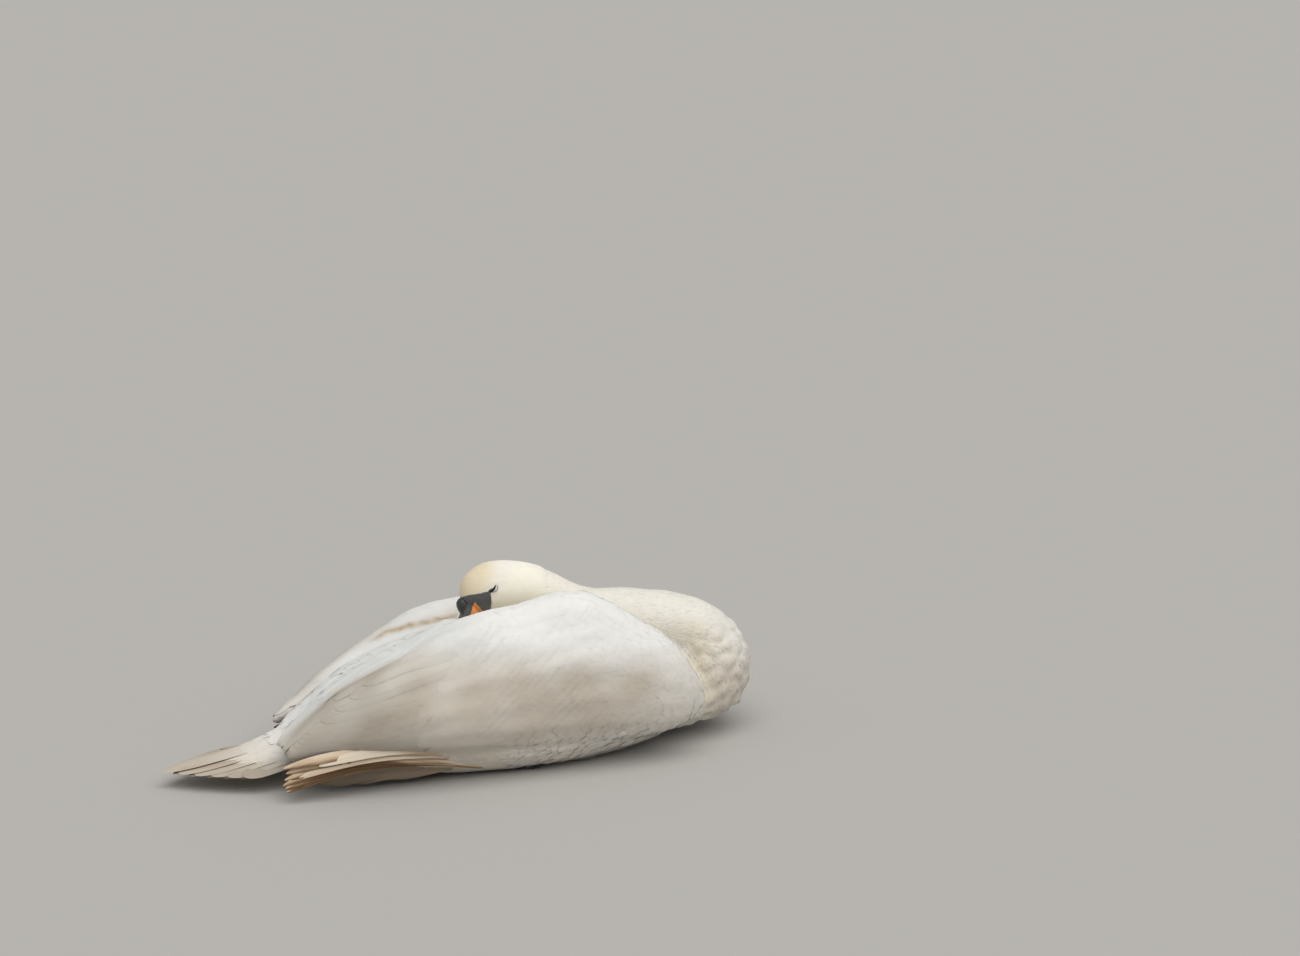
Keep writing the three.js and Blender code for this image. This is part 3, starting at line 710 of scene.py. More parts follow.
def flight_material():
    """Long vanes: the tint, a pale shaft, and barbs as fine ridges."""
    n = Nodes("long_vanes")
    ridges, off = barbs(n, 330, -0.16, 120.0, 0.012)
    shaft = n.ranged(off, 0.015, 0.035, 1.0, 0.0)
    fine = n.ranged(ridges, -1.0, 1.0, 0.975, 1.01)
    n.link(n.shaded(n.tint(), fine, n.ranged(shaft, 0, 1, 1, 1.08)), "Base Color")
    n.link(n.uneven(400.0, 0.5, 0.7), "Roughness")
    n.link(n.bump(shaft, 0.4 * MM, 0.8, n.bump(ridges, 0.03 * MM, 0.6)), "Normal")
    n.shader.inputs["Specular IOR Level"].default_value = 0.3
    return n.material


def skin_material():
    """Downy skin: the tint with a fine nap."""
    n = Nodes("skin")
    n.link(n.shaded(n.tint(), n.uneven(400.0, 0.86, 1.0)), "Base Color")
    n.link(n.uneven(200.0, 0.75, 0.95), "Roughness")
    n.link(n.bump(n.noise(900.0), 0.5 * MM, 0.7), "Normal")
    n.shader.inputs["Specular IOR Level"].default_value = 0.15
    return n.material


def horn_material(name, roughness, pores, pore_depth, coat=0.0):
    """Bare skin or horn: the tint with pores and small unevenness."""
    n = Nodes(name)
    cells = n.node("ShaderNodeTexVoronoi", {"Vector": n.place, "Scale": pores}, feature="DISTANCE_TO_EDGE")
    rises = n.ranged(cells.outputs["Distance"], 0.0, 0.25, 0.0, 1.0)
    n.link(n.shaded(n.tint(), n.uneven(350.0, 0.82, 1.1)), "Base Color")
    n.link(n.uneven(600.0, roughness - 0.1, roughness + 0.12), "Roughness")
    n.link(n.bump(rises, pore_depth, 0.5, n.bump(n.noise(300.0), 0.3 * MM, 0.4)), "Normal")
    n.shader.inputs["Coat Weight"].default_value = coat
    n.shader.inputs["Coat Roughness"].default_value = 0.25
    return n.material


# ---------------------------------------------------------------- feathers

VANE_THICKNESS = 0.12 * MM
SHARPEST_BEND = 0.45  # the cosine of the most that a small feather bends over an edge
ROOT_SHADE = 0.93


class Shape:
    """A kind of feather: places along it, its half width there as a share, places across it, how far
    it is bowed up, how far its shading turns to the sides, and how far its tip and edges bend down."""

    def __init__(self, along, widths, across, camber, roundness, tuck=0.0):
        self.along, self.widths, self.across = (np.array(row, float) for row in (along, widths, across))
        self.camber = camber
        self.roundness = roundness
        self.tuck = tuck

    def faces(self):
        """Triangles of one closed vane, the upper side's first. Its lower side shares the rim's
        corners with the upper side and has inner corners of its own, numbered after them."""
        rows, columns = len(self.along), len(self.across)
        top = np.arange(rows * columns).reshape(rows, columns)
        low = top.copy()
        inner = (rows - 2) * (columns - 2)
        low[1:-1, 1:-1] = rows * columns + np.arange(inner).reshape(rows - 2, columns - 2)
        near_root = np.arange(rows - 1)[:, None] < (rows - 1) / 2
        straight = (near_root == (np.arange(columns - 1)[None] < (columns - 1) / 2)).ravel()
        made = []
        for grid, order in ((top, (0, 2, 1)), (low, (0, 1, 2))):
            a, b, c, d = cell_corners(grid)
            for chosen, pair in ((straight, ((a, b, c), (a, c, d))), (~straight, ((a, b, d), (b, c, d)))):
                for corners in pair:
                    made.append(np.stack([corners[k][chosen] for k in order], 1))
        return np.vstack(made)


def rounded(along, tip, blunt):
    """A feather's half widths: narrow at the root, full, and rounded off from `tip` on."""
    along = np.array(along, float)
    swelling = 0.4 + 0.6 * np.sin(np.clip(along / 0.35, 0, 1) * math.pi / 2)
    end = np.clip((along - tip) / (1.0001 - tip), 0, 1)
    return swelling * np.sqrt(np.clip(1 - end ** 2 * (1 - blunt ** 2), 0, 1))


DOWNY_ROWS = (0, 0.3, 0.64, 0.88, 1)
CONTOUR_ROWS = (0, 0.3, 0.58, 0.78, 0.91, 0.98, 1)
LONG_ROWS = (0, 0.1, 0.2, 0.3, 0.4, 0.5, 0.6, 0.7, 0.78, 0.85, 0.91, 0.96, 0.99, 1)
LONG_ACROSS = (-1, -0.6, -0.2, 0, 0.2, 0.6, 1)
TUFT = Shape((0, 0.5, 1), (0.5, 1.0, 0.3), (-1, 0, 1), camber=0.30, roundness=0.35)
DOWNY = Shape(
    DOWNY_ROWS, rounded(DOWNY_ROWS, tip=0.45, blunt=0.3), (-1, -0.4, 0.4, 1),
    camber=0.08, roundness=0.2, tuck=0.1 * MM,
)
CONTOUR = Shape(
    CONTOUR_ROWS, rounded(CONTOUR_ROWS, tip=0.50, blunt=0.15), (-1, -0.5, 0, 0.5, 1),
    camber=0.02, roundness=0.05, tuck=0.14 * MM,
)
PRIMARY = Shape(
    LONG_ROWS, rounded(LONG_ROWS, tip=0.62, blunt=0.04), LONG_ACROSS, camber=0.05, roundness=0.25,
)
LONG = Shape(
    LONG_ROWS, rounded(LONG_ROWS, tip=0.72, blunt=0.12), LONG_ACROSS, camber=0.04, roundness=0.12,
)

# Feathers ready to be laid: their lines, what is up along them, half widths, and heights over the
# line; their places on the map of colours and the size of each there; how far one edge is lifted
# over the other; and the surface that they are pulled to, with by how much.
Growth = namedtuple("Growth", "line up half_widths heights places patch tilt drape", defaults=(0.0, None))


def trails(surface, roots, lies, lengths, steps, hug):
    """The line each feather follows over the surface and the normals along it. A feather is pulled
    to the surface by at most `hug` for each step, so that a stiff one runs straight off a sharp end."""
    points, normals = [roots], [surface.nearest(roots)[1]]
    way = lies
    stride = (lengths / steps)[:, None]
    for _ in range(steps):
        ahead, share, normal = pulled(surface, points[-1] + way * stride, hug)
        normal = unit(normals[-1] * (1 - share) + normal * share)
        way = unit(ahead - points[-1])
        points.append(ahead)
        normals.append(normal)
    return np.stack(points, 1), np.stack(normals, 1)


def pulled(surface, points, hug):
    """Points pulled to the surface by at most `hug`, the share of the way, and the normals there."""
    near, normal = surface.nearest(points)
    pull = near - points
    share = np.minimum(1, hug / np.maximum(np.linalg.norm(pull, axis=-1, keepdims=True), 1e-9))
    return points + pull * share, share, normal


def read_along(values, shares):
    """Values at even steps, read at other shares of the way."""
    places = np.asarray(shares) * (values.shape[1] - 1)
    low = np.minimum(places.astype(int), values.shape[1] - 2)
    part = (places - low)[None, :, None]
    return values[:, low] * (1 - part) + values[:, low + 1] * part


def lay_vanes(name, shape, growth, tint, material):
    """Builds many feathers as one piece."""
    count, rows, columns = len(growth.line), len(shape.along), len(shape.across)
    centre = read_along(growth.line, shape.along)
    up = unit(read_along(growth.up, shape.along))
    way = unit(np.gradient(centre, axis=1))
    side = unit(np.cross(up, way))
    half = growth.half_widths[:, None] * shape.widths[None]
    across = shape.across[None, None, :, None]
    flat = centre[:, :, None] + side[:, :, None] * across * half[:, :, None, None]
    lift = np.broadcast_to(up[:, :, None], flat.shape)
    if growth.drape is not None:
        flat, share, normal = pulled(growth.drape[0], flat, growth.drape[1])
        lift = unit(lift * (1 - share) + normal * share)
    crown = (1 - shape.across ** 2)[None, None] * shape.camber * half[:, :, None]
    crown = crown + shape.across[None, None] * growth.tilt
    at_rim = np.maximum(shape.across[None, :] ** 6, smoothstep(0.8, 1, shape.along)[:, None])
    crown = crown - shape.tuck * at_rim[None]
    points = flat + lift * (growth.heights[:, :, None] + crown)[..., None]
    vane = np.empty((count, rows, columns, 2))
    vane[..., 0] = 0.5 + 0.5 * shape.across[None, None]
    vane[..., 1] = shape.along[None, :, None]
    patch = np.clip(growth.places[:, None, None] + growth.patch * (vane - 0.5), 0.0005, 0.9995)
    colours = np.broadcast_to(tint(points, shape), points.shape)
    soft = unit(lift + side[:, :, None] * across * shape.roundness)
    faces = shape.faces()
    points = both_sides(points, points - lift * VANE_THICKNESS)
    points[:, 2] = pressed_up(points[:, 2])
    corners = len(points) // count
    upper = np.where(np.arange(len(faces)) < len(faces) // 2, 1.0, -1.0)[None, :, None, None]
    faces = faces[None] + (np.arange(count) * corners)[:, None, None]
    normals = both_sides(soft, soft)[faces] * upper
    maps = [("OFBake", both_sides(patch, patch)), ("Vane", both_sides(vane, vane))]
    piece = new_mesh(name, points, faces.reshape(-1, 3), maps, both_sides(colours, colours), normals)
    return finished(piece, material)


def pressed_up(heights):
    """Heights kept over the ground: what would reach into it is pressed together just above it."""
    softness = 0.8 * MM
    low = np.minimum(heights, 8 * MM)
    over = softness * np.log1p(np.exp((low - FLOOR_CLEARANCE) / softness))
    return heights - low + FLOOR_CLEARANCE + over


def both_sides(upper, lower):
    """Values for the corners of each vane: all of its upper side, then the inside of its lower side."""
    count, width = len(upper), upper.shape[-1]
    inner = lower[:, 1:-1, 1:-1].reshape(count, -1, width)
    return np.concatenate([upper.reshape(count, -1, width), inner], 1).reshape(-1, width)


def plain_tint(tones):
    """Colours by place, with a tone of its own for each feather and a shaded root."""

    def colours(points, shape):
        shade = ROOT_SHADE + (1 - ROOT_SHADE) * smoothstep(0.0, 0.6, shape.along)
        return np.clip(plumage(points) * tones[:, None, None, None] * shade[None, :, None, None], 0, 1)

    return colours


# ---------------------------------------------------------------- the coat of small feathers

# How one region's small feathers grow. Sizes are in metres, or functions of the roots' places. No
# feather reaches further back than `end`, and `within` says which places the coat covers.
Coat = namedtuple(
    "Coat", "name region shape length width spacing depth slot lift seed end within", defaults=(None, None),
)


def sized(size, places):
    return size(places) if callable(size) else np.full(len(places), size)


def unwrapped(surface, faces):
    """An unwrap of some of the surface's faces, as a place on the map for each of their corners."""
    used, corners = np.unique(surface.triangles[faces], return_inverse=True)
    thing = new_mesh("unwrapping", surface.points[used], corners.reshape(-1, 3))
    bpy.context.view_layer.objects.active = thing
    thing.select_set(True)
    thing.data.uv_layers.new(name="unwrap")
    bpy.ops.object.mode_set(mode="EDIT")
    bpy.ops.mesh.select_all(action="SELECT")
    bpy.ops.uv.smart_project(angle_limit=math.radians(66), island_margin=0.004, scale_to_bounds=False)
    bpy.ops.object.mode_set(mode="OBJECT")
    values = np.empty(len(faces) * 6, np.float32)
    thing.data.uv_layers["unwrap"].data.foreach_get("uv", values)
    bpy.data.objects.remove(thing)
    whole = np.zeros((len(surface.triangles), 3, 2))
    whole[faces] = values.reshape(-1, 3, 2)
    return whole


def in_the_open(surface, roots, normals):
    """Which roots have room over them, so that none grows in a closed cleft."""
    cast = surface.tree.ray_cast
    starts = (roots + normals * 1.5 * MM).tolist()
    return np.array([cast(start, way, 7 * MM)[0] is None for start, way in zip(starts, normals.tolist())])


def grow(coat, bird, material):
    """Covers a region of the bird's surface with a coat."""
    surface = bird.surface
    middles = surface.points[surface.triangles].mean(1)
    own = bird.regions[surface.triangles[:, 0]] == coat.region
    if coat.region == "head":
        own &= ~bare(middles)
    faces = np.flatnonzero(own)
    picks, weights = surface.scattered(faces, sized(coat.spacing, middles), coat.seed)
    roots = surface.at(surface.points, picks, weights)
    normals = unit(surface.at(surface.normals, picks, weights))
    free = in_the_open(surface, roots, normals)
    if coat.region == "head":
        free &= ~bare(roots)
    if coat.within is not None:
        free &= coat.within(roots, normals)
    if coat.end is not None:
        free &= roots[:, 0] > coat.end + 8 * MM
    picks, weights, roots, normals = picks[free], weights[free], roots[free], normals[free]
    lies = unit(surface.at(bird.lie, picks, weights))
    rng = np.random.default_rng(coat.seed + 100)
    turn = rng.normal(0, 0.11, len(roots))[:, None]
    lies = unit(lies + np.cross(normals, lies) * turn)
    length = sized(coat.length, roots) * rng.uniform(0.85, 1.15, len(roots))
    if coat.end is not None:
        length = np.clip(length, 6 * MM, roots[:, 0] - coat.end)
    steps = max(2, len(coat.shape.along) - 1)
    line, up = trails(surface, roots, lies, length, steps, hug=length.mean() / steps * 0.45)
    flat_enough = np.einsum("nij,nj->ni", up, up[:, 0]).min(1) > SHARPEST_BEND
    picks, weights, roots, line, up = (values[flat_enough] for values in (picks, weights, roots, line, up))
    count = len(roots)
    width = sized(coat.width, roots) * rng.uniform(0.85, 1.15, count)
    width = np.minimum(width, 0.5 * length[flat_enough])
    along = coat.shape.along[None]
    lift = sized(coat.lift, roots)
    tip = rng.uniform(-0.3, 1.0, count) * lift
    heights = -coat.depth * (1 - along) ** 1.3 + tip[:, None] * along ** 2 - 0.2 * MM
    places = weighed(weights, unwrapped(surface, faces)[picks])
    tones = 1 + rng.normal(0, 1, count) * (0.010 + 16 * lift)
    drape = (surface, 0.25 * width.mean()) if len(coat.shape.across) > 3 else None
    growth = Growth(line, up, width / 2, heights, places, 0.003, drape=drape)
    return lay_vanes(coat.name, coat.shape, growth, plain_tint(tones), material)


def coverts(base, front, rear):
    """A size of the wing's coverts in millimetres: it grows towards the wing's end."""

    def size(places):
        x = places[:, 0]
        return base * MM + front * MM * smoothstep(0.26, 0.0, x) + rear * MM * smoothstep(-0.03, -0.17, x)

    return size


def ruffled(places):
    """Feathers low on the flank and on the breast stand out a little."""
    x, _, z = places.T
    return 0.10 * MM + 2.0 * MM * smoothstep(0.085, 0.045, z) * smoothstep(0.0, 0.12, x)


def coverts_area(limit, side):
    """Where small feathers cover a wing: its outer side in front of a slanting line, and all of its
    top and inner side."""

    def inside(places, normals):
        in_front = places[:, 0] > limit - 0.42 * (places[:, 2] - 0.11)
        return in_front | (side * normals[:, 1] < 0.45) & (normals[:, 2] > -0.1)

    return inside


COVERTS = (CONTOUR, coverts(20, 26, 22), coverts(11, 8, 5), coverts(4.6, 2.6, 2.4), 1.0 * MM)
COATS = (
    Coat("head_feathers", "head", TUFT, 4.8 * MM, 2.4 * MM, 1.1 * MM, 0.5 * MM,
         "plumage_buff", 0.10 * MM, 11),
    Coat("neck_feathers", "neck_upper", DOWNY, 9 * MM, 3.8 * MM, 2.1 * MM, 0.9 * MM,
         "plumage_buff", 0.2 * MM, 12),
    Coat("nape_feathers", "neck_middle", DOWNY, 11 * MM, 4.8 * MM, 2.6 * MM, 1.0 * MM,
         "plumage_buff", 0.3 * MM, 13),
    Coat("breast_feathers", "neck_lower", DOWNY, 14 * MM, 6.0 * MM, 3.1 * MM, 1.1 * MM,
         "plumage_white", 0.25 * MM, 14),
    Coat("wing_right_feathers", "wing_right", *COVERTS, "plumage_white", ruffled, 15,
         end=-0.279, within=coverts_area(-0.075, -1)),
    Coat("wing_left_feathers", "wing_left", *COVERTS, "plumage_white", ruffled, 16,
         end=-0.250, within=coverts_area(-0.055, 1)),
    Coat("back_coat", "back_feathers", CONTOUR, 75 * MM, 19 * MM, 7.5 * MM, 1.6 * MM,
         "plumage_white", 0.3 * MM, 17, end=-0.280),
    Coat("trunk_feathers", "trunk", DOWNY, 26 * MM, 13 * MM, 6.2 * MM, 1.5 * MM,
         "plumage_white", ruffled, 18),
    Coat("tail_coverts", "tail", CONTOUR, 48 * MM, 15 * MM, 6.5 * MM, 1.6 * MM,
         "plumage_white", 0.3 * MM, 19, end=-0.37),
)


# ---------------------------------------------------------------- long feathers

LONG_STEPS = np.linspace(0, 1, 14)
FLIGHT_COUNT = 13
FLANK_COUNT = 14
TAIL_UPPER, TAIL_UNDER = 11, 10
TAIL_COUNT = TAIL_UPPER + TAIL_UNDER

VANE_CREAM, VANE_BROWN, VANE_DARK = (0.72, 0.64, 0.52), (0.50, 0.30, 0.14), (0.10, 0.050, 0.020)
FLANK_BEIGE, FLANK_GROUND_SHADE = (0.68, 0.60, 0.52), (0.42, 0.34, 0.27)
TAIL_MIDDLE, TAIL_SIDE_SHADE = (0.56, 0.50, 0.415), (0.42, 0.37, 0.305)
TAIL_ROOT, TAIL_BROWN = (0.69, 0.64, 0.57), (0.36, 0.24, 0.13)

# One wing's primaries from the highest, which lies on top: root, middle and tip in millimetres, with
# the second number the distance from the middle plane, and how brown each is.
PRIMARIES = (
    ((-74, 134, 54), (-162, 144, 64), (-243, 138, 52), 0.15),
    ((-56, 133, 43), (-168, 143, 57), (-270, 133, 36), 0.50),
    ((-50, 132, 44), (-178, 142, 65), (-290, 125, 49), 1.00),
    ((-44, 131, 38), (-176, 141, 59), (-286, 125, 42), 1.10),
    ((-38, 131, 31), (-172, 140, 53), (-289, 128, 34), 1.25),
    ((-30, 130, 26), (-168, 139, 50), (-292, 130, 27), 1.35),
    ((-20, 130, 23), (-164, 138, 48), (-290, 132, 22), 1.45),
    ((-8, 129, 21), (-160, 137, 46), (-288, 133, 18), 1.55),
)

# How far the middles and tips of each side's primaries are moved from there, in metres.
PRIMARIES_MOVED = {-1: (0.0, 0.0, 0.0), 1: (0.050, -0.016, -0.002)}

# The roots and the tips of each wing's inner flight feathers from the lowest to the highest, as
# (x, z) seen from the side.
FLIGHT_ENDS = {
    -1: (
        ((-0.085, 0.052), (-0.06, 0.10), (-0.035, 0.15), (0.0, 0.205)),
        ((-0.272, 0.062), (-0.270, 0.075), (-0.245, 0.098), (-0.165, 0.158)),
    ),
    1: (
        ((-0.065, 0.046), (-0.04, 0.09), (-0.015, 0.135), (0.02, 0.19)),
        ((-0.238, 0.050), (-0.234, 0.060), (-0.205, 0.080), (-0.125, 0.14)),
    ),
}

# Rows of each wing's scapulars: their count, and (x, y) seen from above of the first and last roots,
# then of the first and last tips.
SCAPULARS = {
    -1: (
        (5, (-0.150, -0.112), (-0.170, -0.056), (-0.292, -0.110), (-0.300, -0.064)),
        (4, (-0.085, -0.108), (-0.105, -0.052), (-0.205, -0.108), (-0.225, -0.056)),
    ),
    1: (
        (3, (-0.120, 0.112), (-0.130, 0.090), (-0.265, 0.104), (-0.262, 0.090)),
        (3, (-0.060, 0.110), (-0.070, 0.086), (-0.190, 0.108), (-0.185, 0.088)),
    ),
}


def tiles(count):
    """The middles of even squares on the map of colours, one for each long feather, and their size."""
    side = math.ceil(math.sqrt(count))
    number = np.arange(count)
    return np.stack([(number % side + 0.5) / side, (number // side + 0.5) / side], 1), 0.92 / side


def through(first, middle, last):
    """Points on smooth curves through three points each, the middle one at half way."""
    s = LONG_STEPS[None, :, None]
    first, middle, last = (np.asarray(places)[:, None] for places in (first, middle, last))
    return first * (1 - s) * (1 - 2 * s) + middle * 4 * s * (1 - s) + last * s * (2 * s - 1)


def primaries(side, material):
    """The tips of the folded wing's first feathers, one over another: pale ones over brown ones."""
    count = len(PRIMARIES)
    flip = np.array([1.0, side, 1.0])
    moved = np.array(PRIMARIES_MOVED[side])
    places = [mm([row[column] for row in PRIMARIES]) for column in range(3)]
    line = through(*((place + moved * share) * flip for place, share in zip(places, (0, 1, 1))))
    up = np.broadcast_to(unit(np.array([0.0, side * 0.8, 0.6])), line.shape)
    lifted = np.zeros((count, 1)) + (1 - PRIMARY.along[None]) * -1.5 * MM
    half = np.linspace(6.5, 8.0, count) * MM
    growth = Growth(line, up, half, lifted, *tiles(count), tilt=0.9 * MM * side)
    tint = primary_tint(np.array([row[3] for row in PRIMARIES]), side)
    name = "primaries_%s_feathers" % side_name(side)
    return lay_vanes(name, PRIMARY, growth, tint, material)


def primary_tint(brown, side):
    """Cream vanes with tan or brown lower edges and tips."""

    def colours(points, shape):
        low = smoothstep(-0.1, 0.9, -side * shape.across)[None, None, :]
        far = smoothstep(0.1, 0.8, shape.along)[None, :, None]
        streaks = 0.5 + 0.5 * wavy(points * np.array([0.12, 1, 1]), 7 * MM, 31)
        share = np.clip((0.45 * far + 0.75 * low) * (0.6 + 0.6 * streaks) * brown[:, None, None], 0, 1)
        return painted(VANE_CREAM, (VANE_BROWN, share), (VANE_DARK, np.clip(share * 1.8 - 0.9, 0, 1)))

    return colours


def low_flank(side, material):
    """Loose feathers that hang from the flank over the folded leg."""
    back = np.linspace(0, 1, FLANK_COUNT)[:, None]
    rng = np.random.default_rng(side + 70)
    jitter = rng.normal(0, 2.0, (FLANK_COUNT, 3)) * MM * np.array([1, 0, 1])
    root = np.array([-0.010, 0.119, 0.031]) + back * np.array([-0.125, -0.010, -0.001]) + jitter
    tip = root + np.array([-0.095, -0.014, -0.015])
    middle = (root + tip) / 2 + np.array([0, 0.004, 0.001])
    flip = np.array([1.0, side, 1.0])
    line = through(root * flip, middle * flip, tip * flip)
    up = np.broadcast_to(unit(np.array([0.0, side * 0.85, 0.5])), line.shape)
    heights = np.zeros((FLANK_COUNT, len(LONG.along)))
    growth = Growth(line, up, np.full(FLANK_COUNT, 11 * MM), heights, *tiles(FLANK_COUNT))
    plain = plain_tint(rng.normal(1.0, 0.03, FLANK_COUNT))

    def colours(points, shape):
        # painted shade: darker and browner towards the ground, under the body's edge
        ground_shade = smoothstep(0.030, 0.004, points[..., 2])
        return plain(points, shape) * mix(FLANK_BEIGE, FLANK_GROUND_SHADE, ground_shade)

    name = "flank_%s_feathers" % side_name(side)
    return lay_vanes(name, LONG, growth, colours, material)


def tail_feathers(material):
    """The tail: a middle feather over five pairs, each shorter and lower, and a second fan under
    them."""
    spread = np.concatenate([np.linspace(-1, 1, TAIL_UPPER), np.linspace(-0.9, 0.9, TAIL_UNDER)])
    under = np.concatenate([np.zeros(TAIL_UPPER), np.ones(TAIL_UNDER)])
    off = np.abs(spread)
    low = 0.056 - 0.016 * off - 0.003 * under
    root = np.stack([np.full(TAIL_COUNT, -0.236), 0.042 * spread, low], 1)
    length = 0.192 - 0.094 * off - 0.004 * under
    turn = np.radians(14) * spread
    tip = root.copy()
    tip[:, 0] -= length * np.cos(turn)
    tip[:, 1] += length * np.sin(turn)
    tip[:, 2] = 0.0232 + 0.004 * off - 0.0015 * under
    middle = (root + tip) / 2 + np.array([0, 0, -0.0015])
    line = through(root, middle, tip)
    roof = unit(np.stack([np.zeros(TAIL_COUNT), 0.22 * spread, np.ones(TAIL_COUNT)], 1))
    up = np.broadcast_to(roof[:, None], line.shape)
    heights = (-1.6 * MM * off - 0.5 * MM * under)[:, None]
    heights = np.broadcast_to(heights, (TAIL_COUNT, len(LONG.along)))
    growth = Growth(line, up, np.full(TAIL_COUNT, 16.5 * MM), heights, *tiles(TAIL_COUNT))

    def colours(points, shape):
        edge = smoothstep(0.55, 1.0, np.abs(shape.across))[None, None, :]
        far = smoothstep(0.3, 1.0, shape.along)[None, :, None]
        uneven = 0.55 + 0.5 * wavy(points * (0.3, 1, 1), 14 * MM, 33)
        share = np.clip((0.25 + 0.75 * edge) * far * uneven, 0, 1)
        # brown edges and tips, stronger on the lower fan: partly the feathers' own colour, partly painted
        # shade
        share = share * (0.35 + 0.65 * under[:, None, None])
        share = np.maximum(share, 0.55 * near_line(points, TAIL_STAIN, 6 * MM))
        # the outer feathers are darker than the middle one: painted shade
        plain = mix(TAIL_MIDDLE, TAIL_SIDE_SHADE, off)[:, None, None]
        near_root = smoothstep(0.75, 0.25, shape.along)[None, :, None]
        return painted(plain, (TAIL_ROOT, near_root), (TAIL_BROWN, share))

    return lay_vanes("tail_feathers", LONG, growth, colours, material)


def seen_from_side(surface, side, x, z):
    """The places on the surface seen straight from one side at given x and z."""
    found = []
    for across, up in zip(x, z):
        place = surface.tree.ray_cast((across, side * 0.4, up), (0, -side, 0))[0]
        if place is None or side * place[1] < 30 * MM:
            place = surface.tree.find_nearest((across, side * 0.12, up))[0]
        found.append(place)
    return np.array(found)


def seen_from_above(surface, places):
    """The places on the surface under given (x, y)."""
    found = []
    for x, y in places:
        place = surface.tree.ray_cast((x, y, 0.5), (0, 0, -1))[0]
        found.append(place if place is not None else surface.tree.find_nearest((x, y, 0.08))[0])
    return np.array(found)


def folded_flight(side, surface, material):
    """The inner flight feathers of a folded wing, of which the highest lies on top."""
    share = np.linspace(0, 1, FLIGHT_COUNT)
    ends = []
    for rows in FLIGHT_ENDS[side]:
        spread = np.linspace(0, 1, len(rows))
        ends.append(seen_from_side(surface, side, *(np.interp(share, spread, part) for part in zip(*rows))))
    steps = np.linspace(0, 1, 17)[None, :, None]
    line, up = surface.nearest(ends[0][:, None] * (1 - steps) + ends[1][:, None] * steps)
    beyond = line[:, -1:] + unit(line[:, -1:] - line[:, -3:-2]) * 9 * MM
    line = np.concatenate([line, beyond], 1)
    up = np.concatenate([up, up[:, -1:]], 1)
    name = "flight_%s_feathers" % side_name(side)
    return on_wing(name, surface, line, up, 15 * MM, 0.0, -0.7 * MM * side, material)


def scapulars(side, surface, material):
    """Long white feathers over the top of a wing and down over its end."""
    first, last = [], []
    for count, *corners in SCAPULARS[side]:
        share = np.linspace(0, 1, count)[:, None]
        root_start, root_end, tip_start, tip_end = np.array(corners)
        first.append(seen_from_above(surface, root_start * (1 - share) + root_end * share))
        last.append(seen_from_above(surface, tip_start * (1 - share) + tip_end * share))
    first, last = np.vstack(first), np.vstack(last)
    count = len(first)
    lengths = np.linalg.norm(last - first, axis=1) * np.random.default_rng(count).uniform(0.96, 1.08, count)
    line, up = trails(surface, first, unit(last - first), lengths, 30, hug=6 * MM)
    return on_wing("scapulars_" + side_name(side), surface, line, up, 13 * MM, 0.4 * MM, 0.0, material)


def on_wing(name, surface, line, up, half_width, height, tilt, material):
    """Long white feathers laid on a wing along given lines."""
    count = len(line)
    up = unit(up + np.roll(up, 1, axis=1) * 0.5)
    along = LONG.along[None]
    heights = height - 1.6 * MM * (1 - along) ** 2 + 0.2 * MM * smoothstep(0.5, 1, along)
    heights = heights + np.zeros((count, 1))
    half = np.full(count, half_width)
    growth = Growth(line, up, half, heights, *tiles(count), tilt=tilt, drape=(surface, 6 * MM))
    tones = np.random.default_rng(count + 50).normal(1.0, 0.012, count)
    return lay_vanes(name, LONG, growth, plain_tint(tones), material)


# ---------------------------------------------------------------- the bare face and the bill

BLACK = (0.036, 0.036, 0.039)
LORES = (0.090, 0.094, 0.104)
LID = (0.66, 0.64, 0.59)
LID_LINE = (0.008, 0.008, 0.009)
ORANGE = (0.98, 0.37, 0.09)
PALE_ORANGE = (0.80, 0.38, 0.14)
PUPIL, IRIS, EYE_WHITE = (0.006, 0.005, 0.005), (0.085, 0.038, 0.016), (0.30, 0.27, 0.25)

# The upper bill's middle height and half height at distances forwards in the head.
BILL_MIDDLE = mm([
    (24, -4, 12), (36, -5, 14.5), (52, -11, 11.5), (72, -18, 8.5), (92, -23, 6), (108, -26, 4.4),
    (116, -28, 3),
])
KNOB = mm([39.0, 0, 2.0])
KNOB_HALF = mm([11.6, 10.5, 12.6])
WEDGE = (27.6 * MM, 5.0 * MM)  # the point of the orange on the side of the face, forwards and up
MASK_CORNER = (1.9 * MM, 5.1 * MM)  # where the bare face meets the lids, forwards and up

# Lines on the closed lids from back to front: forwards, up, and half as wide as they are dark.
SLIT = mm([(-9.9, 5.7, 0.4), (-6.6, 4.5, 1.4), (-2.2, 4.0, 2.1), (3.2, 4.8, 2.4)])
CREASE = mm([(-10.6, 3.4, 0.2), (-8.6, 0.7, 0.30), (-2.8, -0.3, 0.34), (2.6, 3.0, 0.34)])


def mask_border(v, w):
    """How far forward the bare face begins at places to the side and up in the head. The feathers
    reach down over the middle of the forehead in a blunt point."""
    over = w - MASK_CORNER[1] + 5.5 * MM * np.exp(-(v / (11 * MM)) ** 2)
    above = np.minimum(over / math.tan(math.radians(25)), 38 * MM)
    below = np.minimum(-over / math.tan(math.radians(58.5)), 22 * MM)
    return MASK_CORNER[0] + np.where(over > 0, above, below)


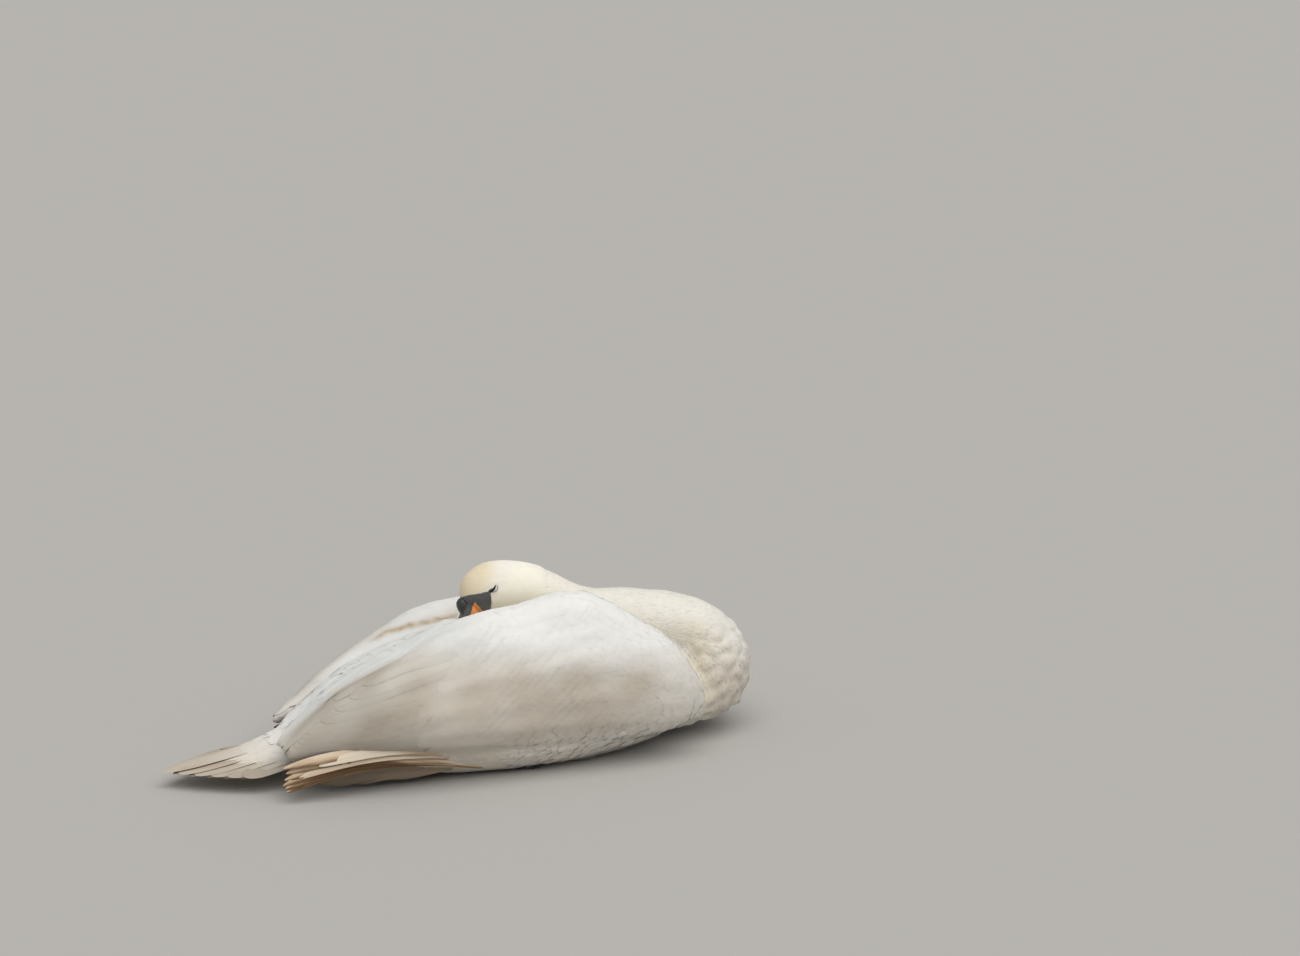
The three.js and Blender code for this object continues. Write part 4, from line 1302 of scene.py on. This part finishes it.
def bare(points):
    """Where no feathers grow: the black skin between the eyes and the bill, and the lids' rims."""
    u, v, w = in_head(points)
    near = (np.abs(v) < 45 * MM) & (np.abs(w) < 45 * MM)
    face = (u > mask_border(v, w) + 0.4 * MM * wavy(points, 5 * MM, 45)) & (u < 60 * MM)
    return near & (face | lower_lid(points))


def lower_lid(points, margin=0.6 * MM):
    """The nearly bare lower lid, from the slit down to the crease under it."""
    u, v, w = in_head(points)
    top, upper_half = on_seam(SLIT, u)
    bottom, lower_half = on_seam(CREASE, u)
    along = (u > CREASE[0, 0] - margin) & (u < CREASE[-1, 0] + margin) & (np.abs(v) > 20 * MM)
    return along & (w < top + upper_half + margin) & (w > bottom - lower_half - margin)


def on_seam(seam, u):
    """The height of a line on the lids at distances forwards in the head, and half its width."""
    level = np.polyval(np.polyfit(seam[:, 0] / MM, seam[:, 1] / MM, 3), u / MM) * MM
    return level, np.interp(u, seam[:, 0], seam[:, 2])


def bill_height(u):
    """The upper bill's middle height and half height at distances forwards in the head."""
    rows = BILL_MIDDLE.T
    return np.interp(u, rows[0], rows[1]), np.interp(u, rows[0], rows[2])


def on_knob(points):
    """How far outside the knob's ball places are, as a share of its size: 1 is its surface."""
    return np.linalg.norm((np.moveaxis(in_head(points), 0, -1) - KNOB) / KNOB_HALF, axis=-1)


def nostril(points):
    """Nearness to the middle of the nostrils: 0 at the middle, 1 on the rim."""
    u, v, w = in_head(points)
    middle, half = bill_height(u)
    along = (u - 58 * MM) / (7 * MM)
    over = (w - middle - 0.30 * half + 0.10 * (u - 58 * MM)) / (1.9 * MM)
    return np.hypot(along, over) + np.where(np.abs(v) < 4 * MM, 3, 0)


def face_tint(points):
    """Black lores and knob, an orange bill with a black wedge to the nostril, nail and edges."""
    u, v, w = in_head(points)
    middle, half = bill_height(u)
    level = (w - middle) / half
    uneven = 0.5 * MM * wavy(points, 9 * MM, 41)
    front = w - (WEDGE[1] - 0.76 * (u - WEDGE[0])) + uneven
    orange = smoothstep(WEDGE[0] - 0.3 * MM, WEDGE[0] + 0.3 * MM, u + uneven * 0.5)
    band = np.maximum.reduce([
        smoothstep(1.85, 1.65, nostril(points)),
        rise(7.9, 7.1, front) * rise(52.4, 51.6, u),
        smoothstep(1.16, 1.08, on_knob(points)),
        rise(-9.4, -8.6, w + uneven) * rise(58.6, 57.4, u + 2 * uneven),
    ])
    share = orange * np.maximum(rise(0.5, -0.5, front), (1 - band) * rise(44, 46, u))
    dark = np.maximum.reduce([
        smoothstep(1.3, 1.12, on_knob(points)),
        smoothstep(1.3, 1.0, nostril(points)),
        rise(103, 104.5, u) * rise(9, 8, np.abs(v)),
        smoothstep(-0.72, -0.86, level) * rise(34, 40, u),
    ])
    pale = share * smoothstep(0.2, -0.7, level) * 0.5
    colour = painted(LORES, (ORANGE, share), (PALE_ORANGE, pale), (BLACK, dark))
    return colour * (1 + 0.06 * wavy(points, 5 * MM, 42))[..., None]


def ring(count, first, second):
    """Even directions round one full turn, from one axis towards another."""
    turn = turned_round(count)
    return np.cos(turn)[:, None] * first + np.sin(turn)[:, None] * second


def ball(away, pole, around):
    """Rings of directions at angles away from a pole."""
    return np.cos(away)[:, None, None] * pole + np.sin(away)[:, None, None] * around[None]


def face_ball(surface):
    """The bare face as a closed form: it follows the outline in front of the feathers' edge and
    sinks under the skin behind it."""
    directions = ball(np.radians(np.linspace(1, 150, 110)), HEAD_U, ring(176, HEAD_V, HEAD_W))
    centre = from_head(10 * MM, 0.0, -1 * MM)
    cast = surface.tree.ray_cast
    reach = np.array([cast(centre, way)[3] for way in directions.reshape(-1, 3).tolist()])
    reach = reach.reshape(directions.shape[:2])
    u, v, w = in_head(centre + directions * reach[..., None])
    hidden = rise(-0.4, 8, mask_border(v, w) - u)
    reach = (reach - 0.5 * MM) * (1 - hidden) + 20 * MM * hidden
    return loft(centre + directions * reach[..., None])


def with_knob(points):
    """Pushes the base of the bill out to the knob's ball, with a soft foot, and lowers the ridge of
    the bill in front of it."""
    centre = from_head(*KNOB)
    u, _, w = in_head(points)
    middle, half = bill_height(u)
    above = smoothstep(-0.6, 1.0, (w - middle) / half) * rise(44, 52, u) * rise(92, 64, u)
    points = points - above[:, None] * 6.5 * MM * HEAD_W
    ratio = on_knob(points)
    soft = 0.10
    risen = ratio + soft * np.log1p(np.exp((1 - ratio) / soft))
    scale = np.where(ratio < 2, risen / np.maximum(ratio, 0.05), 1)
    return centre + (points - centre) * scale[:, None]


def raised(form, outwards):
    """A form's points moved out along its normals."""
    return form.points + form.normals * outwards[:, None]


def upper_bill(surface, material):
    """The bare face, knob and upper bill in one, with nostrils, nail and a comb along the edge."""
    form = Surface(*remeshed(*joined(face_ball(surface), node_arrays("bill_upper")), 0.75 * MM, 8))
    tint = face_tint(form.points)
    form.points = with_knob(form.points)
    form.refresh()
    u, v, w = in_head(form.points)
    middle, half = bill_height(u)
    level = (w - middle) / half
    outwards = 0.12 * MM * wavy(form.points, 4 * MM, 43)
    pit = nostril(form.points)
    outwards += 0.45 * MM * np.exp(-((pit - 1.2) / 0.35) ** 2) - 1.7 * MM * smoothstep(1.0, 0.4, pit)
    nail = np.hypot((u - 112 * MM) / (8.5 * MM), v / (9 * MM))
    outwards += 0.5 * MM * smoothstep(1.0, 0.85, nail) * smoothstep(0.0, 0.5, level)
    comb = smoothstep(-0.5, -0.8, level) * rise(52, 60, u) * rise(106, 98, u)
    outwards += comb * 0.22 * MM * np.sin(u * 2 * math.pi / (2.2 * MM))
    crease = np.exp(-((level - 0.45) / 0.12) ** 2) * rise(52, 64, u)
    outwards -= 0.35 * MM * crease * rise(104, 96, u)
    piece = new_mesh("bill_upper_horn", raised(form, outwards), form.triangles, (), tint)
    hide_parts("bill_upper")
    return finished(piece, material)


def lower_bill(material):
    """The lower bill: dark, with a pinkish orange patch on each side and soft skin between."""
    form = Surface(*remeshed(*node_arrays("bill_lower"), 0.9 * MM, 6))
    u, _, _ = in_head(form.points)
    sides = np.abs(form.normals @ HEAD_V)
    warm = rise(50, 62, u) * rise(100, 88, u) * smoothstep(0.4, 0.8, sides)
    colour = mix(BLACK, PALE_ORANGE, warm * 0.7)
    points = raised(form, 0.15 * MM * wavy(form.points, 4 * MM, 44))
    piece = new_mesh("bill_lower_horn", points, form.triangles, (), colour)
    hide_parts("bill_lower")
    return finished(piece, material)


# ---------------------------------------------------------------- lids and eyes


def shell(name, top, bottom, colour):
    """A closed sheet from two grids of points, the upper one and the lower one."""
    rows, columns = top.shape[:2]
    upper = np.arange(rows * columns).reshape(rows, columns)
    faces = []
    for grid, turned in ((upper, False), (upper + rows * columns, True)):
        a, b, c, d = cell_corners(grid)
        for one in ((a, b, c), (a, c, d)):
            faces.append(np.stack(one[::-1] if turned else one, 1))
    rim = np.concatenate([upper[0, :-1], upper[:-1, -1], upper[-1, :0:-1], upper[:0:-1, 0]])
    onward = np.roll(rim, -1)
    under, under_onward = rim + rows * columns, onward + rows * columns
    faces += [np.stack([rim, under_onward, onward], 1), np.stack([rim, under, under_onward], 1)]
    points = np.concatenate([top.reshape(-1, 3), bottom.reshape(-1, 3)])
    return new_mesh(name, points, facing_out(points - points.mean(0), np.vstack(faces)), (), colour)


def lid_line(name, seam, lips, surface, side, material):
    """A dark line on one eye's closed lids, from a profile of heights across it."""
    share = np.linspace(0, 1, 40)
    u = seam[0, 0] + (seam[-1, 0] - seam[0, 0]) * share
    level, half = on_seam(seam, u)
    across = np.linspace(-1, 1, 13)
    w = level[:, None] + (half + 0.15 * MM)[:, None] * across[None]
    starts = from_head(u[:, None], side * 60 * MM, w)
    cast = surface.tree.ray_cast
    way = (-side * HEAD_V).tolist()
    hits = np.array([cast(start, way)[0] for start in starts.reshape(-1, 3).tolist()])
    hits = hits.reshape(starts.shape)
    _, normals = surface.nearest(hits)
    height = lips(across)[None] * np.minimum(1, 8 * share)[:, None] * np.minimum(half / MM, 1.0)[:, None]
    top = hits + normals * (height * MM)[..., None]
    piece = shell("%s_%s" % (name, side_name(-side)), top, hits - normals * 2.2 * MM, LID_LINE)
    return finished(piece, material)


def slit_profile(across):
    """Two lips with the slit between them, sinking at the edges."""
    lips = 0.30 * np.exp(-((np.abs(across) - 0.5) / 0.25) ** 2) - 0.25 * np.exp(-(across / 0.2) ** 2)
    return lips + 0.12 - 0.7 * np.abs(across) ** 6


def crease_profile(across):
    """A shallow furrow, drawn near-black: painted shade in the crease."""
    return 0.15 - 0.5 * across ** 4


def eyeball(side, material):
    """The eye behind the closed lids: a brown ring round a dark pupil under a clear front."""
    name = side_name(-side)
    centre = eye_centre(side)
    away = np.radians(np.linspace(0, 180, 40)[1:-1])
    bulge = EYE_RADIUS * (1 - 0.04 * smoothstep(0.5, 0.9, away) * smoothstep(1.6, 1.0, away))
    out = side * HEAD_V
    points, triangles = loft(centre + bulge[:, None, None] * ball(away, out, ring(48, HEAD_U, HEAD_W)))
    angle = np.degrees(np.arccos(np.clip((unit(points - centre) @ out), -1, 1)))
    colour = painted(PUPIL, (IRIS, smoothstep(18, 22, angle)), (EYE_WHITE, smoothstep(46, 52, angle)))
    piece = new_mesh("eyeball_" + name, points, triangles, (), colour)
    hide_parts("eye_" + name)
    return finished(piece, material)


# ---------------------------------------------------------------- legs and feet

FOOT_HEEL = -21 * MM
LEG_OFF = 76 * MM
TOE_LENGTH = 118 * MM
TOE_SPREAD = 19
CLAW_LENGTH = 10 * MM
FOOT_BLACK, WEB_BLACK, CLAW_BLACK = (0.030, 0.030, 0.031), (0.062, 0.058, 0.055), (0.022, 0.020, 0.019)


def leg(side, material):
    """One folded leg with its webbed foot: scaly toes and a finely pimpled web."""
    name = side_name(side)
    form = Surface(*remeshed(*joined(node_arrays("leg_" + name), node_arrays("foot_" + name)), 1.2 * MM, 5))
    x, _, z = form.points.T
    scutes = np.abs(np.sin(x * math.pi / (3.4 * MM)))
    outwards = 0.35 * MM * (scutes - 0.5) * rise(3.8, 5.5, z) + 0.12 * MM * wavy(form.points, 4 * MM, 51)
    points = raised(form, outwards)
    points[:, 2] = np.maximum(points[:, 2], FLOOR_CLEARANCE)
    web = rise(4.5, 3.4, z) * smoothstep(FOOT_HEEL, FOOT_HEEL + 20 * MM, x)
    colour = mix(FOOT_BLACK, WEB_BLACK, web)
    piece = new_mesh("leg_%s_skin" % name, points, form.triangles, (), colour)
    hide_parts("leg_" + name, "foot_" + name)
    return finished(piece, material)


def claws(side, material):
    """The three claws of one foot, curved down to the ground."""
    parts = []
    for number in (-1, 0, 1):
        turn = math.radians(TOE_SPREAD * number)
        length = TOE_LENGTH * (0.88 if number else 1.0)
        way = np.array([math.cos(turn), math.sin(turn), 0])
        tip = np.array([FOOT_HEEL, side * LEG_OFF, 2.6 * MM]) + way * (length - 3 * MM)
        around = ring(14, np.array([-way[1], way[0], 0]), UP)
        rings = []
        for share in np.linspace(0, 1, 9):
            thick = 2.3 * MM * (1 - share) ** 0.7 + 0.15 * MM
            arch = UP * MM * (1.0 * math.sin(share * 2.4) - 2.0 * share ** 2)
            rings.append(tip + way * CLAW_LENGTH * share + arch + thick * around)
        parts.append(loft(rings))
    points, triangles = joined(*parts)
    points[:, 2] = np.maximum(points[:, 2], FLOOR_CLEARANCE)
    piece = new_mesh("claws_" + side_name(side), points, triangles, (), CLAW_BLACK)
    return finished(piece, material)


# ---------------------------------------------------------------- the scene's floor, light and camera

FLOOR_SIZE = 80.0
FLOOR_GREY = (0.45, 0.44, 0.425, 1)
ROOM_COLOUR = (1.0, 0.99, 0.97, 1)
ROOM_STRENGTH = 0.44
LAMP_FROM = (0.05, -0.50, 1.0)
LAMP_BREADTH = 70  # degrees of the sky
LAMP_STRENGTH = 2.05
LAMP_COLOUR = (1.0, 0.985, 0.96)
CAMERA_PLACE = (-1.3482, -4.14932, 1.42686)
CAMERA_LENS = 88.615
CAMERA_TILT = 13.2414  # degrees under the horizon
CAMERA_TURN = -21.6015


def studio():
    floor_material = Nodes("floor")
    floor_material.shader.inputs["Base Color"].default_value = FLOOR_GREY
    floor_material.link(floor_material.uneven(3.0, 0.85, 0.92), "Roughness")
    corners = np.array([(-1, -1, 0), (1, -1, 0), (1, 1, 0), (-1, 1, 0)]) * FLOOR_SIZE
    floor = new_mesh("floor", corners, np.array([(0, 1, 2), (0, 2, 3)]))
    floor.data.materials.append(floor_material.material)

    world = bpy.data.worlds.new("soft_room")
    world.use_nodes = True
    world.node_tree.nodes["Background"].inputs["Color"].default_value = ROOM_COLOUR
    world.node_tree.nodes["Background"].inputs["Strength"].default_value = ROOM_STRENGTH
    bpy.context.scene.world = world
    bpy.context.scene.view_settings.view_transform = "Standard"


def lamp():
    """A broad, soft light from above, a little from the camera's side."""
    light = bpy.data.lights.new("overhead", "SUN")
    light.angle = math.radians(LAMP_BREADTH)
    light.energy = LAMP_STRENGTH
    light.color = LAMP_COLOUR
    thing = bpy.data.objects.new("overhead", light)
    thing.rotation_euler = Vector(LAMP_FROM).to_track_quat("Z", "Y").to_euler()
    bpy.context.scene.collection.objects.link(thing)


def camera():
    """Stands where the whole bank was seen from: the bird is left of and below the middle."""
    lens = bpy.data.cameras.new("camera")
    lens.sensor_width = 36.0
    lens.lens = CAMERA_LENS
    thing = bpy.data.objects.new("camera", lens)
    thing.location = CAMERA_PLACE
    thing.rotation_euler = (math.radians(90 - CAMERA_TILT), 0.0, math.radians(CAMERA_TURN))
    bpy.context.scene.collection.objects.link(thing)
    bpy.context.scene.camera = thing


# ---------------------------------------------------------------- assembling

# How deep the skin lies under the feathers, where it isn't SKIN_DEPTH.
SKIN_DEPTH = 1.9 * MM
SKIN_DEPTHS = (
    (0.45 * MM, ["head"]),
    (0.8 * MM, ["neck_upper", "neck_middle"]),
    (1.3 * MM, ["wing_right", "wing_left", "neck_lower"]),
)


class Bird:
    """The surface that everything lies on, the region of each of its corners, and the feathers' lie."""

    def __init__(self):
        self.surface, self.regions = outline_surface()
        self.lie = lie_of_feathers(self.surface, self.regions)


def body_skin(bird):
    """One skin for the whole body, under the feathers by their depth."""
    surface = bird.surface
    head = bird.regions == "head"
    deep = np.full(len(surface.points), SKIN_DEPTH)
    for depth, names in SKIN_DEPTHS:
        deep[np.isin(bird.regions, names)] = depth
    u, v, w = in_head(surface.points)
    under_face = rise(-3.0, -0.4, u - mask_border(v, w)) * head
    deep = np.maximum(surface.evened(deep, 10), 1.6 * MM * under_face[:, None])
    lids = surface.evened(lower_lid(surface.points, 1.5 * MM), 2)
    deep = deep * (1 - lids) + 0.25 * MM * lids
    points = surface.points - surface.normals * deep
    points[:, 2] = np.maximum(points[:, 2], 2 * FLOOR_CLEARANCE)
    dark = head & bare(surface.points) & ~lower_lid(surface.points)
    colour = np.where(dark[:, None], LORES, plumage(points))
    piece = new_mesh("skin", points, surface.triangles, (), mix(colour, LID, lids[:, 0] * ~dark))
    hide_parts(*FLESH, "tail")
    return finished(piece, skin_material())


def build():
    camera()
    studio()
    lamp()
    bird = Bird()
    surface = bird.surface
    body_skin(bird)
    white_vanes = feather_material("white_vanes", 55, 0.035 * MM)
    fine_vanes = feather_material("fine_vanes", 6, 0.05 * MM)
    long_vanes = flight_material()
    for coat in COATS:
        grow(coat, bird, fine_vanes if coat.shape is TUFT else white_vanes)
    for side in (-1, 1):
        folded_flight(side, surface, long_vanes)
    for side in (-1, 1):
        scapulars(side, surface, long_vanes)
    near = primaries(-1, long_vanes)
    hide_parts("primaries_right")
    far = primaries(1, long_vanes)
    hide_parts("primaries_left")
    tail_feathers(long_vanes)
    for side in (-1, 1):
        low_flank(side, long_vanes)
    face = horn_material("face_and_bill", 0.42, 900.0, 0.10 * MM, coat=0.12)
    black = horn_material("black_skin", 0.5, 700.0, 0.15 * MM)
    eye = horn_material("eye", 0.2, 2500.0, 0.01 * MM, coat=1.0)
    upper_bill(surface, face)
    lower_bill(face)
    for side in (-1, 1):
        lid_line("lid_rims", SLIT, slit_profile, surface, side, black)
        # the crease under the lower lid is a near-black line: painted shade
        lid_line("lid_crease_shade", CREASE, crease_profile, surface, side, black)
        eyeball(side, eye)
        leg(side, black)
        claws(side, black)


build()
